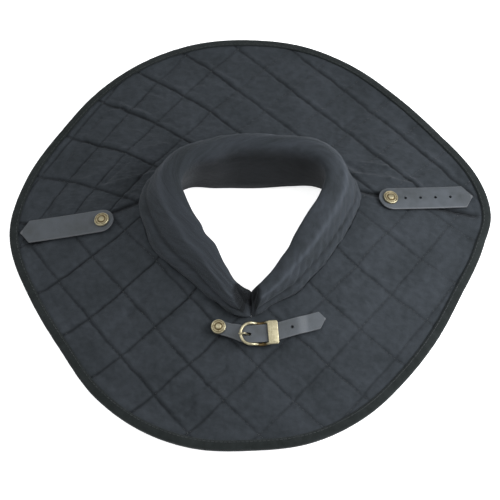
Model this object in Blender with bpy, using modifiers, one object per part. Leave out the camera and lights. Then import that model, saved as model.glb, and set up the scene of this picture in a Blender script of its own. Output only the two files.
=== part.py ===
"""Padded collar: a quilted mantle with a padded neck band, leather straps and a brass buckle.

It lies on a floor at z = 0 with the front of the collar towards -Y. Reaches are measured from the
neck's centre, and bearings in degrees from the front, turning towards +X.
"""

import math
from collections import namedtuple

import bmesh
import bpy
from mathutils import Matrix, Vector
from mathutils.geometry import delaunay_2d_cdt

# Sizes that the whole collar follows, in metres
CLEARANCE = 0.0003
HEM_REACH = 0.240
NECK_REACH = 0.100
RIM_HEIGHT = 0.070
SHOULDER_LIFT = 0.030

# Mantle
MANTLE_THICKNESS = 0.0120
HEM_THICKNESS = 0.0040
MANTLE_SAG = 0.25
QUILT_PITCH_FRONT = 0.0455
QUILT_PITCH_CROSS = 0.0443
QUILT_PITCH_BACK = 0.0402
QUILT_DEPTH = 0.0030
QUILT_DEPTH_BELOW = 0.0012
QUILT_FADE = 0.012
QUILT_STEPS = 4
QUILT_CLEAR = 0.42

# Hem binding
TAPE_THICKNESS = 0.0010
TAPE_WIDTH = 0.0090
TAPE_ROUND = 0.0014
HEM_SECTIONS = 96

# Neck band
BAND_WALL = 0.016
BAND_ROOT = 0.0125
BAND_SECTIONS = 73
NOTCH_FOOT = 0.2
NOTCH_RIGHT = 4.5
NOTCH_LEFT = 11.5
NOTCH_CLOSED = 0.7

# Straps
LEATHER = 0.0020
SIDE_STRAP_WIDTH = 0.025
STRAP_POINT = 0.009
STRAP_HOLE = 0.0030
STRAP_HOLE_PITCH = 0.0155
FRONT_STRAP_WIDTH = 0.0165
FRONT_STRAP_ROOT_WIDTH = 0.0140
FRONT_STRAP_LENGTH = 0.106
FRONT_STRAP_POINT = 0.006
FRONT_STRAP_DROP = 0.0190
FRONT_STRAP_TURN_LEFT = 24.0
FRONT_STRAP_TURN_RIGHT = 12.5
FRONT_STRAP_TURN_RUN = 0.008
FRONT_RIVET_PLACE = -0.036
STRAIGHT_HALF = 0.009
FOLLOW_RUN = 0.012
STRAP_STEP = 0.006

# Rivets
RIVET_DIAMETER = 0.0150
RIVET_HEIGHT = 0.0030
RIVET_POST = 0.0040
RIVET_INSET = 0.0107
FRONT_RIVET_DIAMETER = 0.0138
FRONT_RIVET_INSET = 0.0065

# Buckle
BUCKLE_LENGTH = 0.036
BUCKLE_WIDTH = 0.0225
BUCKLE_WIRE = 0.0026
BUCKLE_BEARING = 3.5
BUCKLE_HEADING = 95.0
BUCKLE_ROUND = 0.0095
PLATE_LENGTH = 0.0095
PLATE_THICKNESS = 0.0018
PLATE_ROUND = 0.0022
BAR_WIRE = 0.0022
BAR_PLACE = 0.0035
PRONG_WIRE = 0.0018
PRONG_SLOT = 0.0075
PRONG_SLOT_PLACE = -0.0105
TAB_LENGTH = 0.030
TAB_WIDTH = 0.0145

# Outline of the hem: reach is a share of HEM_REACH
HemRow = namedtuple("HemRow", "bearing reach")
HEM_ROWS = [
    HemRow(0, 0.877), HemRow(15, 0.876), HemRow(30, 0.860), HemRow(45, 0.839),
    HemRow(60, 0.841), HemRow(75, 0.869), HemRow(90, 0.950), HemRow(98, 1.002),
    HemRow(108, 1.012), HemRow(125, 0.981), HemRow(140, 0.992), HemRow(155, 1.035),
    HemRow(168, 1.067), HemRow(180, 1.077), HemRow(193, 1.082), HemRow(206, 1.067),
    HemRow(220, 1.036), HemRow(235, 1.000), HemRow(252, 1.000), HemRow(267, 0.993),
    HemRow(286, 0.912), HemRow(302, 0.877), HemRow(318, 0.892), HemRow(333, 0.900),
    HemRow(346, 0.895),
]

# The neck all round: seam and rim are shares of NECK_REACH to the band's outer face, rise of
# RIM_HEIGHT to its top, wall of BAND_WALL, and lift of SHOULDER_LIFT to the mantle's top at the seam
NeckRow = namedtuple("NeckRow", "bearing seam rim rise wall lift")
NECK_ROWS = [
    NeckRow(0, 0.885, 0.810, 0.60, 1.00, 0.83), NeckRow(15, 0.780, 0.730, 0.65, 1.05, 0.87),
    NeckRow(33, 0.773, 0.640, 0.74, 1.08, 0.93), NeckRow(48, 0.752, 0.620, 0.80, 1.13, 1.00),
    NeckRow(63, 0.775, 0.640, 0.85, 1.38, 1.03), NeckRow(80, 0.837, 0.695, 0.89, 1.56, 1.03),
    NeckRow(96, 0.972, 0.800, 0.92, 1.76, 1.00), NeckRow(111, 1.129, 0.970, 0.95, 1.85, 0.90),
    NeckRow(124, 1.160, 1.050, 0.97, 1.36, 0.75), NeckRow(136, 1.120, 1.080, 0.98, 1.32, 0.60),
    NeckRow(150, 0.990, 1.010, 1.00, 1.28, 0.50), NeckRow(165, 0.870, 0.926, 1.00, 1.10, 0.47),
    NeckRow(180, 0.835, 0.905, 1.00, 1.08, 0.47), NeckRow(195, 0.870, 0.915, 1.00, 1.14, 0.47),
    NeckRow(210, 1.000, 0.950, 1.00, 1.52, 0.50), NeckRow(224, 1.140, 1.010, 0.98, 1.58, 0.60),
    NeckRow(240, 1.170, 0.990, 0.97, 1.58, 0.75), NeckRow(252, 1.150, 0.905, 0.95, 1.82, 0.90),
    NeckRow(264, 1.045, 0.790, 0.92, 1.68, 1.00), NeckRow(280, 0.960, 0.670, 0.89, 1.44, 1.03),
    NeckRow(292, 0.870, 0.640, 0.86, 1.30, 1.03), NeckRow(311, 0.780, 0.600, 0.80, 1.20, 1.00),
    NeckRow(335, 0.800, 0.700, 0.70, 1.15, 0.90), NeckRow(348, 0.870, 0.790, 0.62, 1.10, 0.85),
]

# Section of the band: across from the outer face, share of the root, share of the rise above it
BandRow = namedtuple("BandRow", "across root rise")
BAND_ROWS = [
    BandRow(0.00, 0.0, 0.00), BandRow(0.00, 1.0, 0.00), BandRow(-0.10, 1.0, 0.35),
    BandRow(-0.06, 1.0, 0.75), BandRow(0.12, 1.0, 0.94), BandRow(0.50, 1.0, 1.00),
    BandRow(0.88, 1.0, 0.94), BandRow(1.04, 1.0, 0.75), BandRow(1.08, 1.0, 0.35),
    BandRow(1.00, 0.7, 0.00), BandRow(0.95, 0.0, 0.00),
]

# Shoulder seams: where each meets the neck and the hem
ShoulderRow = namedtuple("ShoulderRow", "neck_bearing hem_bearing")
SHOULDER_RIGHT = ShoulderRow(117, 97.5)
SHOULDER_LEFT = ShoulderRow(251, 271)

# Quilting: two families of lines, offset from the origin as shares of their pitch. The bows bend
# them where the cloth turns round the neck: how fast they move back, per metre squared from x = 0
QuiltRow = namedtuple(
    "QuiltRow", "rising_pitch falling_pitch rising_offset falling_offset bow_left bow_right")
FRONT_QUILT = QuiltRow(QUILT_PITCH_FRONT, QUILT_PITCH_CROSS, -0.55, 0.576, 0.8, 0.8)
BACK_QUILT = QuiltRow(QUILT_PITCH_BACK, QUILT_PITCH_BACK, 0.17, 0.677, -1.8, -0.2)

# Side straps: where the rivet is, reach and length as shares of HEM_REACH, and which way the tip
# points
StrapRow = namedtuple("StrapRow", "side bearing reach heading length holes")
STRAP_ROWS = [
    StrapRow("left", 263.3, 0.606, 273.6, 0.388, 0),
    StrapRow("right", 107.2, 0.594, 98.0, 0.402, 4),
]

# Turned profile of a rivet's cap: radius and height shares, from the centre of the top
RivetRow = namedtuple("RivetRow", "radius height")
RIVET_ROWS = [
    RivetRow(0.30, 0.97), RivetRow(0.52, 0.85), RivetRow(0.60, 0.62), RivetRow(0.70, 0.66),
    RivetRow(0.86, 0.74), RivetRow(0.97, 0.52), RivetRow(1.00, 0.20), RivetRow(0.95, 0.00),
]

# The binding holds the mantle's edge, and the strap lies over the buckle's bar and under its frame
HEM_TOP = TAPE_THICKNESS + CLEARANCE + HEM_THICKNESS
HEM_MARGIN = TAPE_WIDTH + 0.001
HEM_INSET = TAPE_THICKNESS + 2 * CLEARANCE
STRAP_LEVEL = 2 * CLEARANCE + BAR_WIRE + CLEARANCE
FRAME_LEVEL = STRAP_LEVEL + LEATHER + CLEARANCE


def smooth(rows, column, bearing):
    """Read a closed table at a bearing, on a smooth curve through its rows."""
    turn = bearing % 360
    count = len(rows)
    index = max(k for k in range(count) if rows[k].bearing <= turn)

    def place(k):
        return rows[k % count].bearing + 360 * (k // count)

    def value(k):
        return getattr(rows[k % count], column)

    def slope(k):
        return (value(k + 1) - value(k - 1)) / (place(k + 1) - place(k - 1))

    span = place(index + 1) - place(index)
    t = (turn - place(index)) / span
    return (
        value(index) * (1 + 2 * t) * (1 - t) ** 2
        + slope(index) * span * t * (1 - t) ** 2
        + value(index + 1) * t * t * (3 - 2 * t)
        + slope(index + 1) * span * t * t * (t - 1)
    )


def ease(value):
    """Smooth step from 0 to 1."""
    t = min(1.0, max(0.0, value))
    return t * t * (3 - 2 * t)


def direction(bearing):
    """Unit vector in plan at a bearing."""
    turn = math.radians(bearing)
    return Vector((math.sin(turn), -math.cos(turn)))


def hem_reach(bearing):
    return HEM_REACH * smooth(HEM_ROWS, "reach", bearing)


def neck_row(bearing):
    """The neck's sizes at a bearing, in metres."""
    return NeckRow(
        bearing,
        NECK_REACH * smooth(NECK_ROWS, "seam", bearing),
        NECK_REACH * smooth(NECK_ROWS, "rim", bearing),
        RIM_HEIGHT * smooth(NECK_ROWS, "rise", bearing),
        BAND_WALL * smooth(NECK_ROWS, "wall", bearing),
        SHOULDER_LIFT * smooth(NECK_ROWS, "lift", bearing),
    )


def find_neck_centre():
    """Place the neck so that the hem's box is centred on the origin."""
    hem = [direction(b) * hem_reach(b) for b in range(360)]
    low = Vector((min(p.x for p in hem), min(p.y for p in hem)))
    high = Vector((max(p.x for p in hem), max(p.y for p in hem)))
    return -(low + high) / 2


NECK_CENTRE = find_neck_centre()


def polar(bearing, reach):
    """Point in plan at a bearing and reach from the neck's centre."""
    return NECK_CENTRE + direction(bearing) * reach


def bearing_of(point):
    """Bearing and reach of a point in plan."""
    arm = point - NECK_CENTRE
    return math.degrees(math.atan2(arm.x, -arm.y)) % 360, arm.length


def envelope(point):
    """Top of the mantle's pillows at a point in plan, and the thickness there."""
    bearing, reach = bearing_of(point)
    seam = neck_row(bearing)
    flat = hem_reach(bearing) - HEM_MARGIN
    share = min(1.0, max(0.0, (reach - seam.seam) / (flat - seam.seam)))
    top = HEM_TOP + (seam.lift - HEM_TOP) * (1 - share) * (1 - MANTLE_SAG * share)
    return top, MANTLE_THICKNESS + (HEM_THICKNESS - MANTLE_THICKNESS) * share


def surface_frame(point, heading, height):
    """Matrix of a piece laid on the mantle: X along the heading, Z along the surface's normal."""
    step = 0.004
    along = direction(heading)
    across = Vector((-along.y, along.x))
    rise_along = envelope(point + along * step)[0] - envelope(point - along * step)[0]
    rise_across = envelope(point + across * step)[0] - envelope(point - across * step)[0]
    x_axis = Vector((along.x, along.y, rise_along / (2 * step))).normalized()
    y_guess = Vector((across.x, across.y, rise_across / (2 * step)))
    z_axis = x_axis.cross(y_guess).normalized()
    y_axis = z_axis.cross(x_axis)
    place = Vector((point.x, point.y, envelope(point)[0])) + z_axis * height
    turn = Matrix((x_axis, y_axis, z_axis)).transposed()
    return Matrix.Translation(place) @ turn.to_4x4()


def bow(quilt, x):
    """How far the quilting lines are bent towards the back at a place across the collar."""
    return (quilt.bow_left if x < 0 else quilt.bow_right) * x * x


def quilt_point(quilt, rising, falling):
    """Plan point of a pair of line numbers."""
    a = (rising + quilt.rising_offset) * quilt.rising_pitch
    b = (falling + quilt.falling_offset) * quilt.falling_pitch
    x = (b - a) / math.sqrt(2)
    return Vector((x, (b + a) / math.sqrt(2) + bow(quilt, x)))


def quilt_numbers(quilt, point):
    """Line numbers of a plan point, the inverse of quilt_point."""
    y = point.y - bow(quilt, point.x)
    a = (y - point.x) / math.sqrt(2)
    b = (y + point.x) / math.sqrt(2)
    return (
        a / quilt.rising_pitch - quilt.rising_offset,
        b / quilt.falling_pitch - quilt.falling_offset,
    )


def pillow(quilt, point):
    """1 in the middle of a quilted diamond and 0 on its stitched lines."""
    rising, falling = quilt_numbers(quilt, point)
    return (abs(math.sin(math.pi * rising)) * abs(math.sin(math.pi * falling))) ** 0.45


def mesh_object(name, mesh, material, world=Matrix.Identity(4)):
    """Add a mesh as a named piece of the collar."""
    mesh.name = name
    mesh.materials.clear()
    mesh.materials.append(material)
    mesh.shade_smooth()
    mesh.set_sharp_from_angle(angle=math.radians(40))
    piece = bpy.data.objects.new(name, mesh)
    piece.matrix_world = world
    COLLAR.objects.link(piece)
    piece.parent = ROOT
    return piece


def mesh_from(points, faces):
    """Mesh of points and faces, with its normals made to face out."""
    mesh = bpy.data.meshes.new("solid")
    mesh.from_pydata([tuple(p) for p in points], [], faces)
    work = bmesh.new()
    work.from_mesh(mesh)
    bmesh.ops.recalc_face_normals(work, faces=work.faces[:])
    work.to_mesh(mesh)
    work.free()
    return mesh


def loft(sections, cyclic):
    """Closed mesh through equal sections, joined end to end or capped."""
    width = len(sections[0])
    points = [p for section in sections for p in section]
    faces = []
    for i in range(len(sections) if cyclic else len(sections) - 1):
        here = i * width
        there = (i + 1) % len(sections) * width
        for j in range(width):
            k = (j + 1) % width
            faces.append((here + j, here + k, there + k, there + j))
    if not cyclic:
        faces.append(tuple(range(width)))
        faces.append(tuple(reversed(range(len(points) - width, len(points)))))
    return mesh_from(points, faces)


def inside(polygon, point):
    """Whether a plan point lies in a closed polygon."""
    odd = False
    for a, b in zip(polygon, polygon[1:] + polygon[:1]):
        if (a.y > point.y) != (b.y > point.y):
            if point.x < a.x + (b.x - a.x) * (point.y - a.y) / (b.y - a.y):
                odd = not odd
    return odd


def distance_to(line, point):
    """Shortest distance from a plan point to a run of plan points."""
    best = math.inf
    for a, b in zip(line, line[1:]):
        run = b - a
        t = min(1.0, max(0.0, (point - a).dot(run) / run.length_squared))
        best = min(best, (a + run * t - point).length)
    return best


def hem_bearings():
    return [360 * k / HEM_SECTIONS for k in range(HEM_SECTIONS)]


def band_bearing(share, rise, across):
    """Bearing of a place along the band: its ends part towards the rim, and less inside."""
    closed = NOTCH_CLOSED * ease((across - 0.05) / 0.35)
    parted = max(0.0, (rise - closed) / (1 - closed))
    right = NOTCH_FOOT + NOTCH_RIGHT * parted
    left = NOTCH_FOOT + NOTCH_LEFT * parted
    return right + (360 - left - right) * share


def band_shares():
    return [k / (BAND_SECTIONS - 1) for k in range(BAND_SECTIONS)]


def between(bearings, start, end):
    """The bearings strictly between two, in turning order."""
    span = (end - start) % 360
    chosen = [b for b in bearings if 0.8 < (b - start) % 360 < span - 0.8]
    return [start] + sorted(chosen, key=lambda b: (b - start) % 360) + [end]


def panel_outline(start, end):
    """Plan outline of a panel from one shoulder seam round to another, and its margin line."""
    neck = [band_bearing(share, 0, 0) for share in band_shares()]
    hem_run = between(hem_bearings(), start.hem_bearing, end.hem_bearing)
    neck_run = between(neck, start.neck_bearing, end.neck_bearing)
    hem = [polar(b, hem_reach(b) - HEM_INSET) for b in hem_run]
    margin = [polar(b, hem_reach(b) - HEM_MARGIN) for b in hem_run]
    seam = [polar(b, neck_row(b).seam + CLEARANCE) for b in reversed(neck_run)]
    for inner, outer in ((seam[-1], (hem[0], margin[0])), (seam[0], (hem[-1], margin[-1]))):
        run = outer[0] - inner
        middle = hem[len(hem) // 2] - inner
        side = Vector((-run.y, run.x)).normalized() * CLEARANCE / 2
        if side.dot(middle) < 0:
            side.negate()
        for point in (inner, *outer):
            point += side
    margin[0] = slide_onto(seam[-1], hem[0], margin[0])
    margin[-1] = slide_onto(seam[0], hem[-1], margin[-1])
    return hem + seam, margin, hem


def slide_onto(start, end, point):
    """Nearest place to a point on the straight run between two others."""
    run = end - start
    return start + run * ((point - start).dot(run) / run.length_squared)


def panel_mesh(start, end, quilt):
    """Quilted panel between two shoulder seams, triangulated along its stitched lines."""
    outline, margin, hem = panel_outline(start, end)
    edge_gap = min(quilt.rising_pitch, quilt.falling_pitch) / QUILT_STEPS * QUILT_CLEAR
    points = list(outline)
    edges = [(k, (k + 1) % len(outline)) for k in range(len(outline))]
    seam = outline[len(hem):] + outline[:1]
    shoulder = outline[len(hem) - 1:len(hem) + 1]
    first = len(points)
    points += margin
    edges += [(first + k, first + k + 1) for k in range(len(margin) - 1)]

    diagonal = 2 * HEM_REACH
    reach = int(diagonal / min(quilt.rising_pitch, quilt.falling_pitch)) * QUILT_STEPS
    numbers = {}
    for i in range(-reach, reach + 1):
        for j in range(-reach, reach + 1):
            point = quilt_point(quilt, i / QUILT_STEPS, j / QUILT_STEPS)
            if not inside(outline, point):
                continue
            if min(distance_to(line, point) for line in (margin, seam, shoulder)) < edge_gap:
                continue
            bearing, distance = bearing_of(point)
            if distance > hem_reach(bearing) - HEM_MARGIN:
                continue
            numbers[i, j] = len(points)
            points.append(point)
    for (i, j), index in numbers.items():
        if j % QUILT_STEPS == 0 and (i + 1, j) in numbers:
            edges.append((index, numbers[i + 1, j]))
        if i % QUILT_STEPS == 0 and (i, j + 1) in numbers:
            edges.append((index, numbers[i, j + 1]))

    plan, _, triangles, *_ = delaunay_2d_cdt(points, edges, [], 0, 1e-7)
    kept = [t for t in triangles if inside(outline, sum((plan[k] for k in t), Vector((0, 0))) / 3)]
    return quilted_solid(plan, kept, quilt)


def quilted_solid(plan, triangles, quilt):
    """Give a triangulated plan its quilted top, its underside and its walls."""
    used = sorted({k for t in triangles for k in t})
    renumber = {k: n for n, k in enumerate(used)}
    top = []
    bottom = []
    for k in used:
        point = plan[k]
        height, thickness = envelope(point)
        bearing, reach = bearing_of(point)
        from_hem = hem_reach(bearing) - HEM_MARGIN - reach
        from_seam = reach - neck_row(bearing).seam
        fade = ease(from_hem / QUILT_FADE) * (0.3 + 0.7 * ease(from_seam / QUILT_FADE))
        dip = (1 - pillow(quilt, point)) * fade
        top.append((point.x, point.y, height - QUILT_DEPTH * dip))
        bottom.append((point.x, point.y, height - thickness + QUILT_DEPTH_BELOW * dip))
    shift = len(used)
    faces = []
    border = {}
    for t in triangles:
        a, b, c = (renumber[k] for k in t)
        faces.append((a, b, c))
        faces.append((c + shift, b + shift, a + shift))
        for edge in ((a, b), (b, c), (c, a)):
            border[edge] = edge[::-1] in border or border.get(edge, False)
            if edge[::-1] in border:
                border[edge[::-1]] = True
    for (a, b), shared in border.items():
        if not shared:
            faces.append((b, a, a + shift, b + shift))
    return mesh_from(top + bottom, faces)


def band_mesh():
    """Padded neck band, a C whose ends meet at the front of the seam."""
    sections = []
    for share in band_shares():
        section = []
        for row in BAND_ROWS:
            bearing = band_bearing(share, row.rise, row.across)
            neck = neck_row(bearing)
            reach = neck.seam + (neck.rim - neck.seam) * row.rise - neck.wall * row.across
            height = neck.lift - BAND_ROOT * (1 - row.root) + (neck.rise - neck.lift) * row.rise
            place = polar(bearing, reach)
            section.append(Vector((place.x, place.y, height)))
        sections.append(section)
    return loft(sections, cyclic=False)


def binding_mesh():
    """Tape folded round the hem: a U open towards the neck, flat where it rests."""
    full = HEM_TOP + CLEARANCE + TAPE_THICKNESS
    inner = TAPE_THICKNESS
    section = [
        (TAPE_WIDTH, 0), (TAPE_ROUND, 0), (0, TAPE_ROUND), (0, full - TAPE_ROUND),
        (TAPE_ROUND, full), (TAPE_WIDTH, full), (TAPE_WIDTH, full - inner),
        (inner, full - inner), (inner, inner), (TAPE_WIDTH, inner),
    ]
    sections = []
    for bearing in hem_bearings():
        places = [(polar(bearing, hem_reach(bearing) - inset), height) for inset, height in section]
        sections.append([Vector((p.x, p.y, height)) for p, height in places])
    return loft(sections, cyclic=True)


def strap_stations(length, width, point, inset):
    """Places along a strap from its rivet, each with half its width: a round end, then a point."""
    stations = []
    for k in range(6):
        turn = math.pi / 2 * k / 5
        stations.append((-inset + width / 2 * (1 - math.cos(turn)), width / 2 * math.sin(turn)))
    straight = stations[-1][0]
    shoulder = length - inset - point
    count = max(1, round((shoulder - straight) / STRAP_STEP))
    for k in range(1, count + 1):
        stations.append((straight + (shoulder - straight) * k / count, width / 2))
    stations.append((length - inset, 0))
    return [(along, max(half, 0.0006)) for along, half in stations]


def strap_mesh(stations, place):
    """Leather strip whose place function turns along, across and height into a point."""
    sections = []
    for along, half in stations:
        sections.append([
            place(along, -half, 0), place(along, 0, 0), place(along, half, 0),
            place(along, half, LEATHER), place(along, 0, LEATHER), place(along, -half, LEATHER),
        ])
    return loft(sections, cyclic=False)


def cut(piece, cutters):
    """Cut holes through a piece with EXACT Booleans."""
    for cutter in cutters:
        CUTTERS.objects.link(cutter)
        cutter.hide_render = True
        cutter.display_type = "WIRE"
        modifier = piece.modifiers.new("hole", "BOOLEAN")
        modifier.operation = "DIFFERENCE"
        modifier.solver = "EXACT"
        modifier.object = cutter


def hole_cutter(world, length, width):
    """Round or slotted cutter that stands on the leather."""
    work = bmesh.new()
    depth = 8 * LEATHER
    bmesh.ops.create_cone(
        work, cap_ends=True, segments=12, radius1=width / 2, radius2=width / 2, depth=depth)
    for vertex in work.verts:
        vertex.co.x += math.copysign((length - width) / 2, vertex.co.x)
    mesh = bpy.data.meshes.new("hole")
    work.to_mesh(mesh)
    work.free()
    cutter = bpy.data.objects.new("hole", mesh)
    cutter.matrix_world = world
    return cutter


def side_strap(row, leather, brass):
    """Strap laid out over the shoulder, with the rivet that holds it."""
    anchor = polar(row.bearing, HEM_REACH * row.reach)
    along_axis = direction(row.heading)
    across_axis = Vector((-along_axis.y, along_axis.x))

    def place(along, across, height):
        spot = anchor + along_axis * along + across_axis * across
        return Vector((spot.x, spot.y, envelope(spot)[0] + 2 * CLEARANCE + height))

    length = HEM_REACH * row.length
    stations = strap_stations(length, SIDE_STRAP_WIDTH, STRAP_POINT, RIVET_INSET)
    name = "side_strap_" + row.side
    strap = mesh_object(name, strap_mesh(stations, place), leather)
    places = [(0, RIVET_POST + 2 * CLEARANCE)]
    places += [(STRAP_HOLE_PITCH * k, STRAP_HOLE) for k in range(1, row.holes + 1)]
    cutters = []
    for along, width in places:
        frame = surface_frame(anchor + along_axis * along, row.heading, 0)
        cutters.append(hole_cutter(frame, width, width))
    cut(strap, cutters)
    seat = surface_frame(anchor, row.heading, 3 * CLEARANCE + LEATHER)
    rivet("rivet_" + row.side, seat, RIVET_DIAMETER, brass)


def rivet(name, seat, diameter, brass):
    """Turned cap with a ring groove, and its post down through the leather."""
    radius = diameter / 2
    profile = [(0, RIVET_HEIGHT)]
    profile += [(row.radius * radius, row.height * RIVET_HEIGHT) for row in RIVET_ROWS]
    profile += [(RIVET_POST / 2, 0), (RIVET_POST / 2, -LEATHER), (0, -LEATHER)]
    mesh = bpy.data.meshes.new(name)
    edges = [(k, k + 1) for k in range(len(profile) - 1)]
    mesh.from_pydata([(r, 0, z) for r, z in profile], edges, [])
    piece = mesh_object(name, mesh, brass, seat)
    turn = piece.modifiers.new("turn", "SCREW")
    turn.steps = turn.render_steps = 20
    turn.use_merge_vertices = True
    turn.merge_threshold = 0.0001
    turn.use_smooth_shade = True


def front_frame():
    """Where the buckle sits: X along the strap to the right, Z off the mantle."""
    reach = neck_row(BUCKLE_BEARING).seam + FRONT_STRAP_DROP
    return surface_frame(polar(BUCKLE_BEARING, reach), BUCKLE_HEADING, 0)


def front_place(lift):
    """Place function of leather laid across the front: flat at the buckle, then down the mantle."""
    frame = front_frame()

    def place(along, across, height):
        past = max(0.0, abs(along) - STRAIGHT_HALF)
        turned = past - FRONT_STRAP_TURN_RUN / 2
        if past < FRONT_STRAP_TURN_RUN:
            turned = past * past / (2 * FRONT_STRAP_TURN_RUN)
        turn = FRONT_STRAP_TURN_LEFT if along < 0 else FRONT_STRAP_TURN_RIGHT
        spot = frame @ Vector((along, across + math.tan(math.radians(turn)) * turned, 0))
        above = spot.z - envelope(Vector((spot.x, spot.y)))[0]
        follow = ease((abs(along) - BUCKLE_LENGTH / 2) / FOLLOW_RUN)
        up = frame.to_3x3() @ Vector((0, 0, CLEARANCE + lift(along) + height))
        return spot + up - Vector((0, 0, follow * above))

    return place


def strap_lift(along):
    """How far the front strap stands off the mantle: over the bar and the tab behind the buckle."""
    full = STRAP_LEVEL - CLEARANCE
    left = ease((along + BUCKLE_LENGTH * 0.72) / (BUCKLE_LENGTH * 0.4))
    right = ease((BAR_PLACE + TAB_LENGTH + 0.014 - along) / 0.012)
    return full * min(left, right)


def front_width(along):
    """Width of the front strap: narrower from the rivet to the buckle."""
    wide = ease((along + BUCKLE_LENGTH * 0.7) / (BUCKLE_LENGTH * 0.25))
    return FRONT_STRAP_ROOT_WIDTH + (FRONT_STRAP_WIDTH - FRONT_STRAP_ROOT_WIDTH) * wide


def front_strap(leather, brass):
    """Strap from the front rivet through the buckle to its free tip."""
    place = front_place(strap_lift)
    stations = [
        (along + FRONT_RIVET_PLACE, half / FRONT_STRAP_WIDTH * front_width(along + FRONT_RIVET_PLACE))
        for along, half in strap_stations(
            FRONT_STRAP_LENGTH, FRONT_STRAP_WIDTH, FRONT_STRAP_POINT, FRONT_RIVET_INSET)
    ]
    strap = mesh_object("front_strap", strap_mesh(stations, place), leather)

    def stand(along):
        middle = place(along, 0, LEATHER / 2)
        x_axis = (place(along + 0.002, 0, 0) - place(along - 0.002, 0, 0)).normalized()
        z_axis = x_axis.cross(place(along, 0.002, 0) - place(along, -0.002, 0)).normalized()
        turn = Matrix((x_axis, z_axis.cross(x_axis), z_axis)).transposed()
        return Matrix.Translation(middle) @ turn.to_4x4()

    post = RIVET_POST + 2 * CLEARANCE
    slot = PRONG_WIRE + 4 * CLEARANCE
    cut(strap, [
        hole_cutter(stand(FRONT_RIVET_PLACE), post, post),
        hole_cutter(stand(PRONG_SLOT_PLACE), PRONG_SLOT, slot),
        hole_cutter(stand(BAR_PLACE + 1.8 * STRAP_HOLE_PITCH), STRAP_HOLE, STRAP_HOLE),
    ])
    seat = stand(FRONT_RIVET_PLACE) @ Matrix.Translation((0, 0, LEATHER / 2 + CLEARANCE))
    rivet("rivet_front", seat, FRONT_RIVET_DIAMETER, brass)


def tube_mesh(points, radii, world):
    """Round wire through points, with filled and welded caps."""
    curve = bpy.data.curves.new("wire", "CURVE")
    curve.dimensions = "3D"
    curve.bevel_depth = 1.0
    curve.bevel_resolution = 2
    curve.use_fill_caps = True
    spline = curve.splines.new("POLY")
    spline.points.add(len(points) - 1)
    for node, place, radius in zip(spline.points, points, radii):
        node.co = (*place, 1)
        node.radius = radius
    holder = bpy.data.objects.new("wire", curve)
    CUTTERS.objects.link(holder)
    bpy.context.view_layer.update()
    mesh = bpy.data.meshes.new_from_object(holder.evaluated_get(bpy.context.evaluated_depsgraph_get()))
    bpy.data.objects.remove(holder)
    work = bmesh.new()
    work.from_mesh(mesh)
    bmesh.ops.remove_doubles(work, verts=work.verts[:], dist=0.00001)
    bmesh.ops.recalc_face_normals(work, faces=work.faces[:])
    work.to_mesh(mesh)
    work.free()
    mesh.transform(world)
    return mesh


def buckle_rail():
    """Centreline of the frame's wire: a round end over the strap, dipping to the centre bar."""
    half_width = (BUCKLE_WIDTH - BUCKLE_WIRE) / 2
    left = -(BUCKLE_LENGTH - BUCKLE_WIRE) / 2
    high = FRAME_LEVEL + BUCKLE_WIRE / 2
    low = CLEARANCE + BUCKLE_WIRE / 2
    plate_start = BUCKLE_LENGTH / 2 - PLATE_LENGTH
    turns = [math.pi / 2 * k / 6 for k in range(7)]
    half = [
        (left + BUCKLE_ROUND * (1 - math.cos(t)), half_width * math.sin(t), high) for t in turns
    ]
    half += [
        ((left + BUCKLE_ROUND + BAR_PLACE) / 2 - 0.001, half_width, high * 0.62 + low * 0.38),
        (BAR_PLACE - 0.003, half_width, low + 0.0004),
        (BAR_PLACE, half_width, low),
        (BAR_PLACE + 0.002, half_width, low + 0.0007),
        (plate_start + 0.001, half_width, high - 0.0008),
        (plate_start + 0.004, half_width, high - 0.0004),
        (BUCKLE_LENGTH / 2 - 0.001, half_width, high - 0.0004),
    ]
    other = [(x, -y, z) for x, y, z in half[1:]]
    return list(reversed(other)) + half


def join_solids(name, meshes, material):
    """Weld meshes that run into each other with a Boolean union."""
    piece = mesh_object(name, meshes[0], material)
    for mesh in meshes[1:]:
        other = bpy.data.objects.new("member", mesh)
        other.hide_render = True
        other.display_type = "WIRE"
        CUTTERS.objects.link(other)
        modifier = piece.modifiers.new("weld", "BOOLEAN")
        modifier.operation = "UNION"
        modifier.solver = "EXACT"
        modifier.object = other
    return piece


def plate_mesh(world):
    """Wide flat bar of the buckle, with rounded corners."""
    work = bmesh.new()
    bmesh.ops.create_cube(work, size=1.0)
    bmesh.ops.scale(work, vec=(PLATE_LENGTH, BUCKLE_WIDTH, PLATE_THICKNESS), verts=work.verts[:])
    upright = [e for e in work.edges if abs(e.verts[0].co.z - e.verts[1].co.z) > 0.0001]
    bmesh.ops.bevel(work, geom=upright, offset=PLATE_ROUND, segments=3, affect="EDGES", profile=0.5)
    mesh = bpy.data.meshes.new("plate")
    work.to_mesh(mesh)
    work.free()
    middle = (BUCKLE_LENGTH - PLATE_LENGTH) / 2
    mesh.transform(world @ Matrix.Translation((middle, 0, FRAME_LEVEL + PLATE_THICKNESS / 2)))
    return mesh


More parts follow.
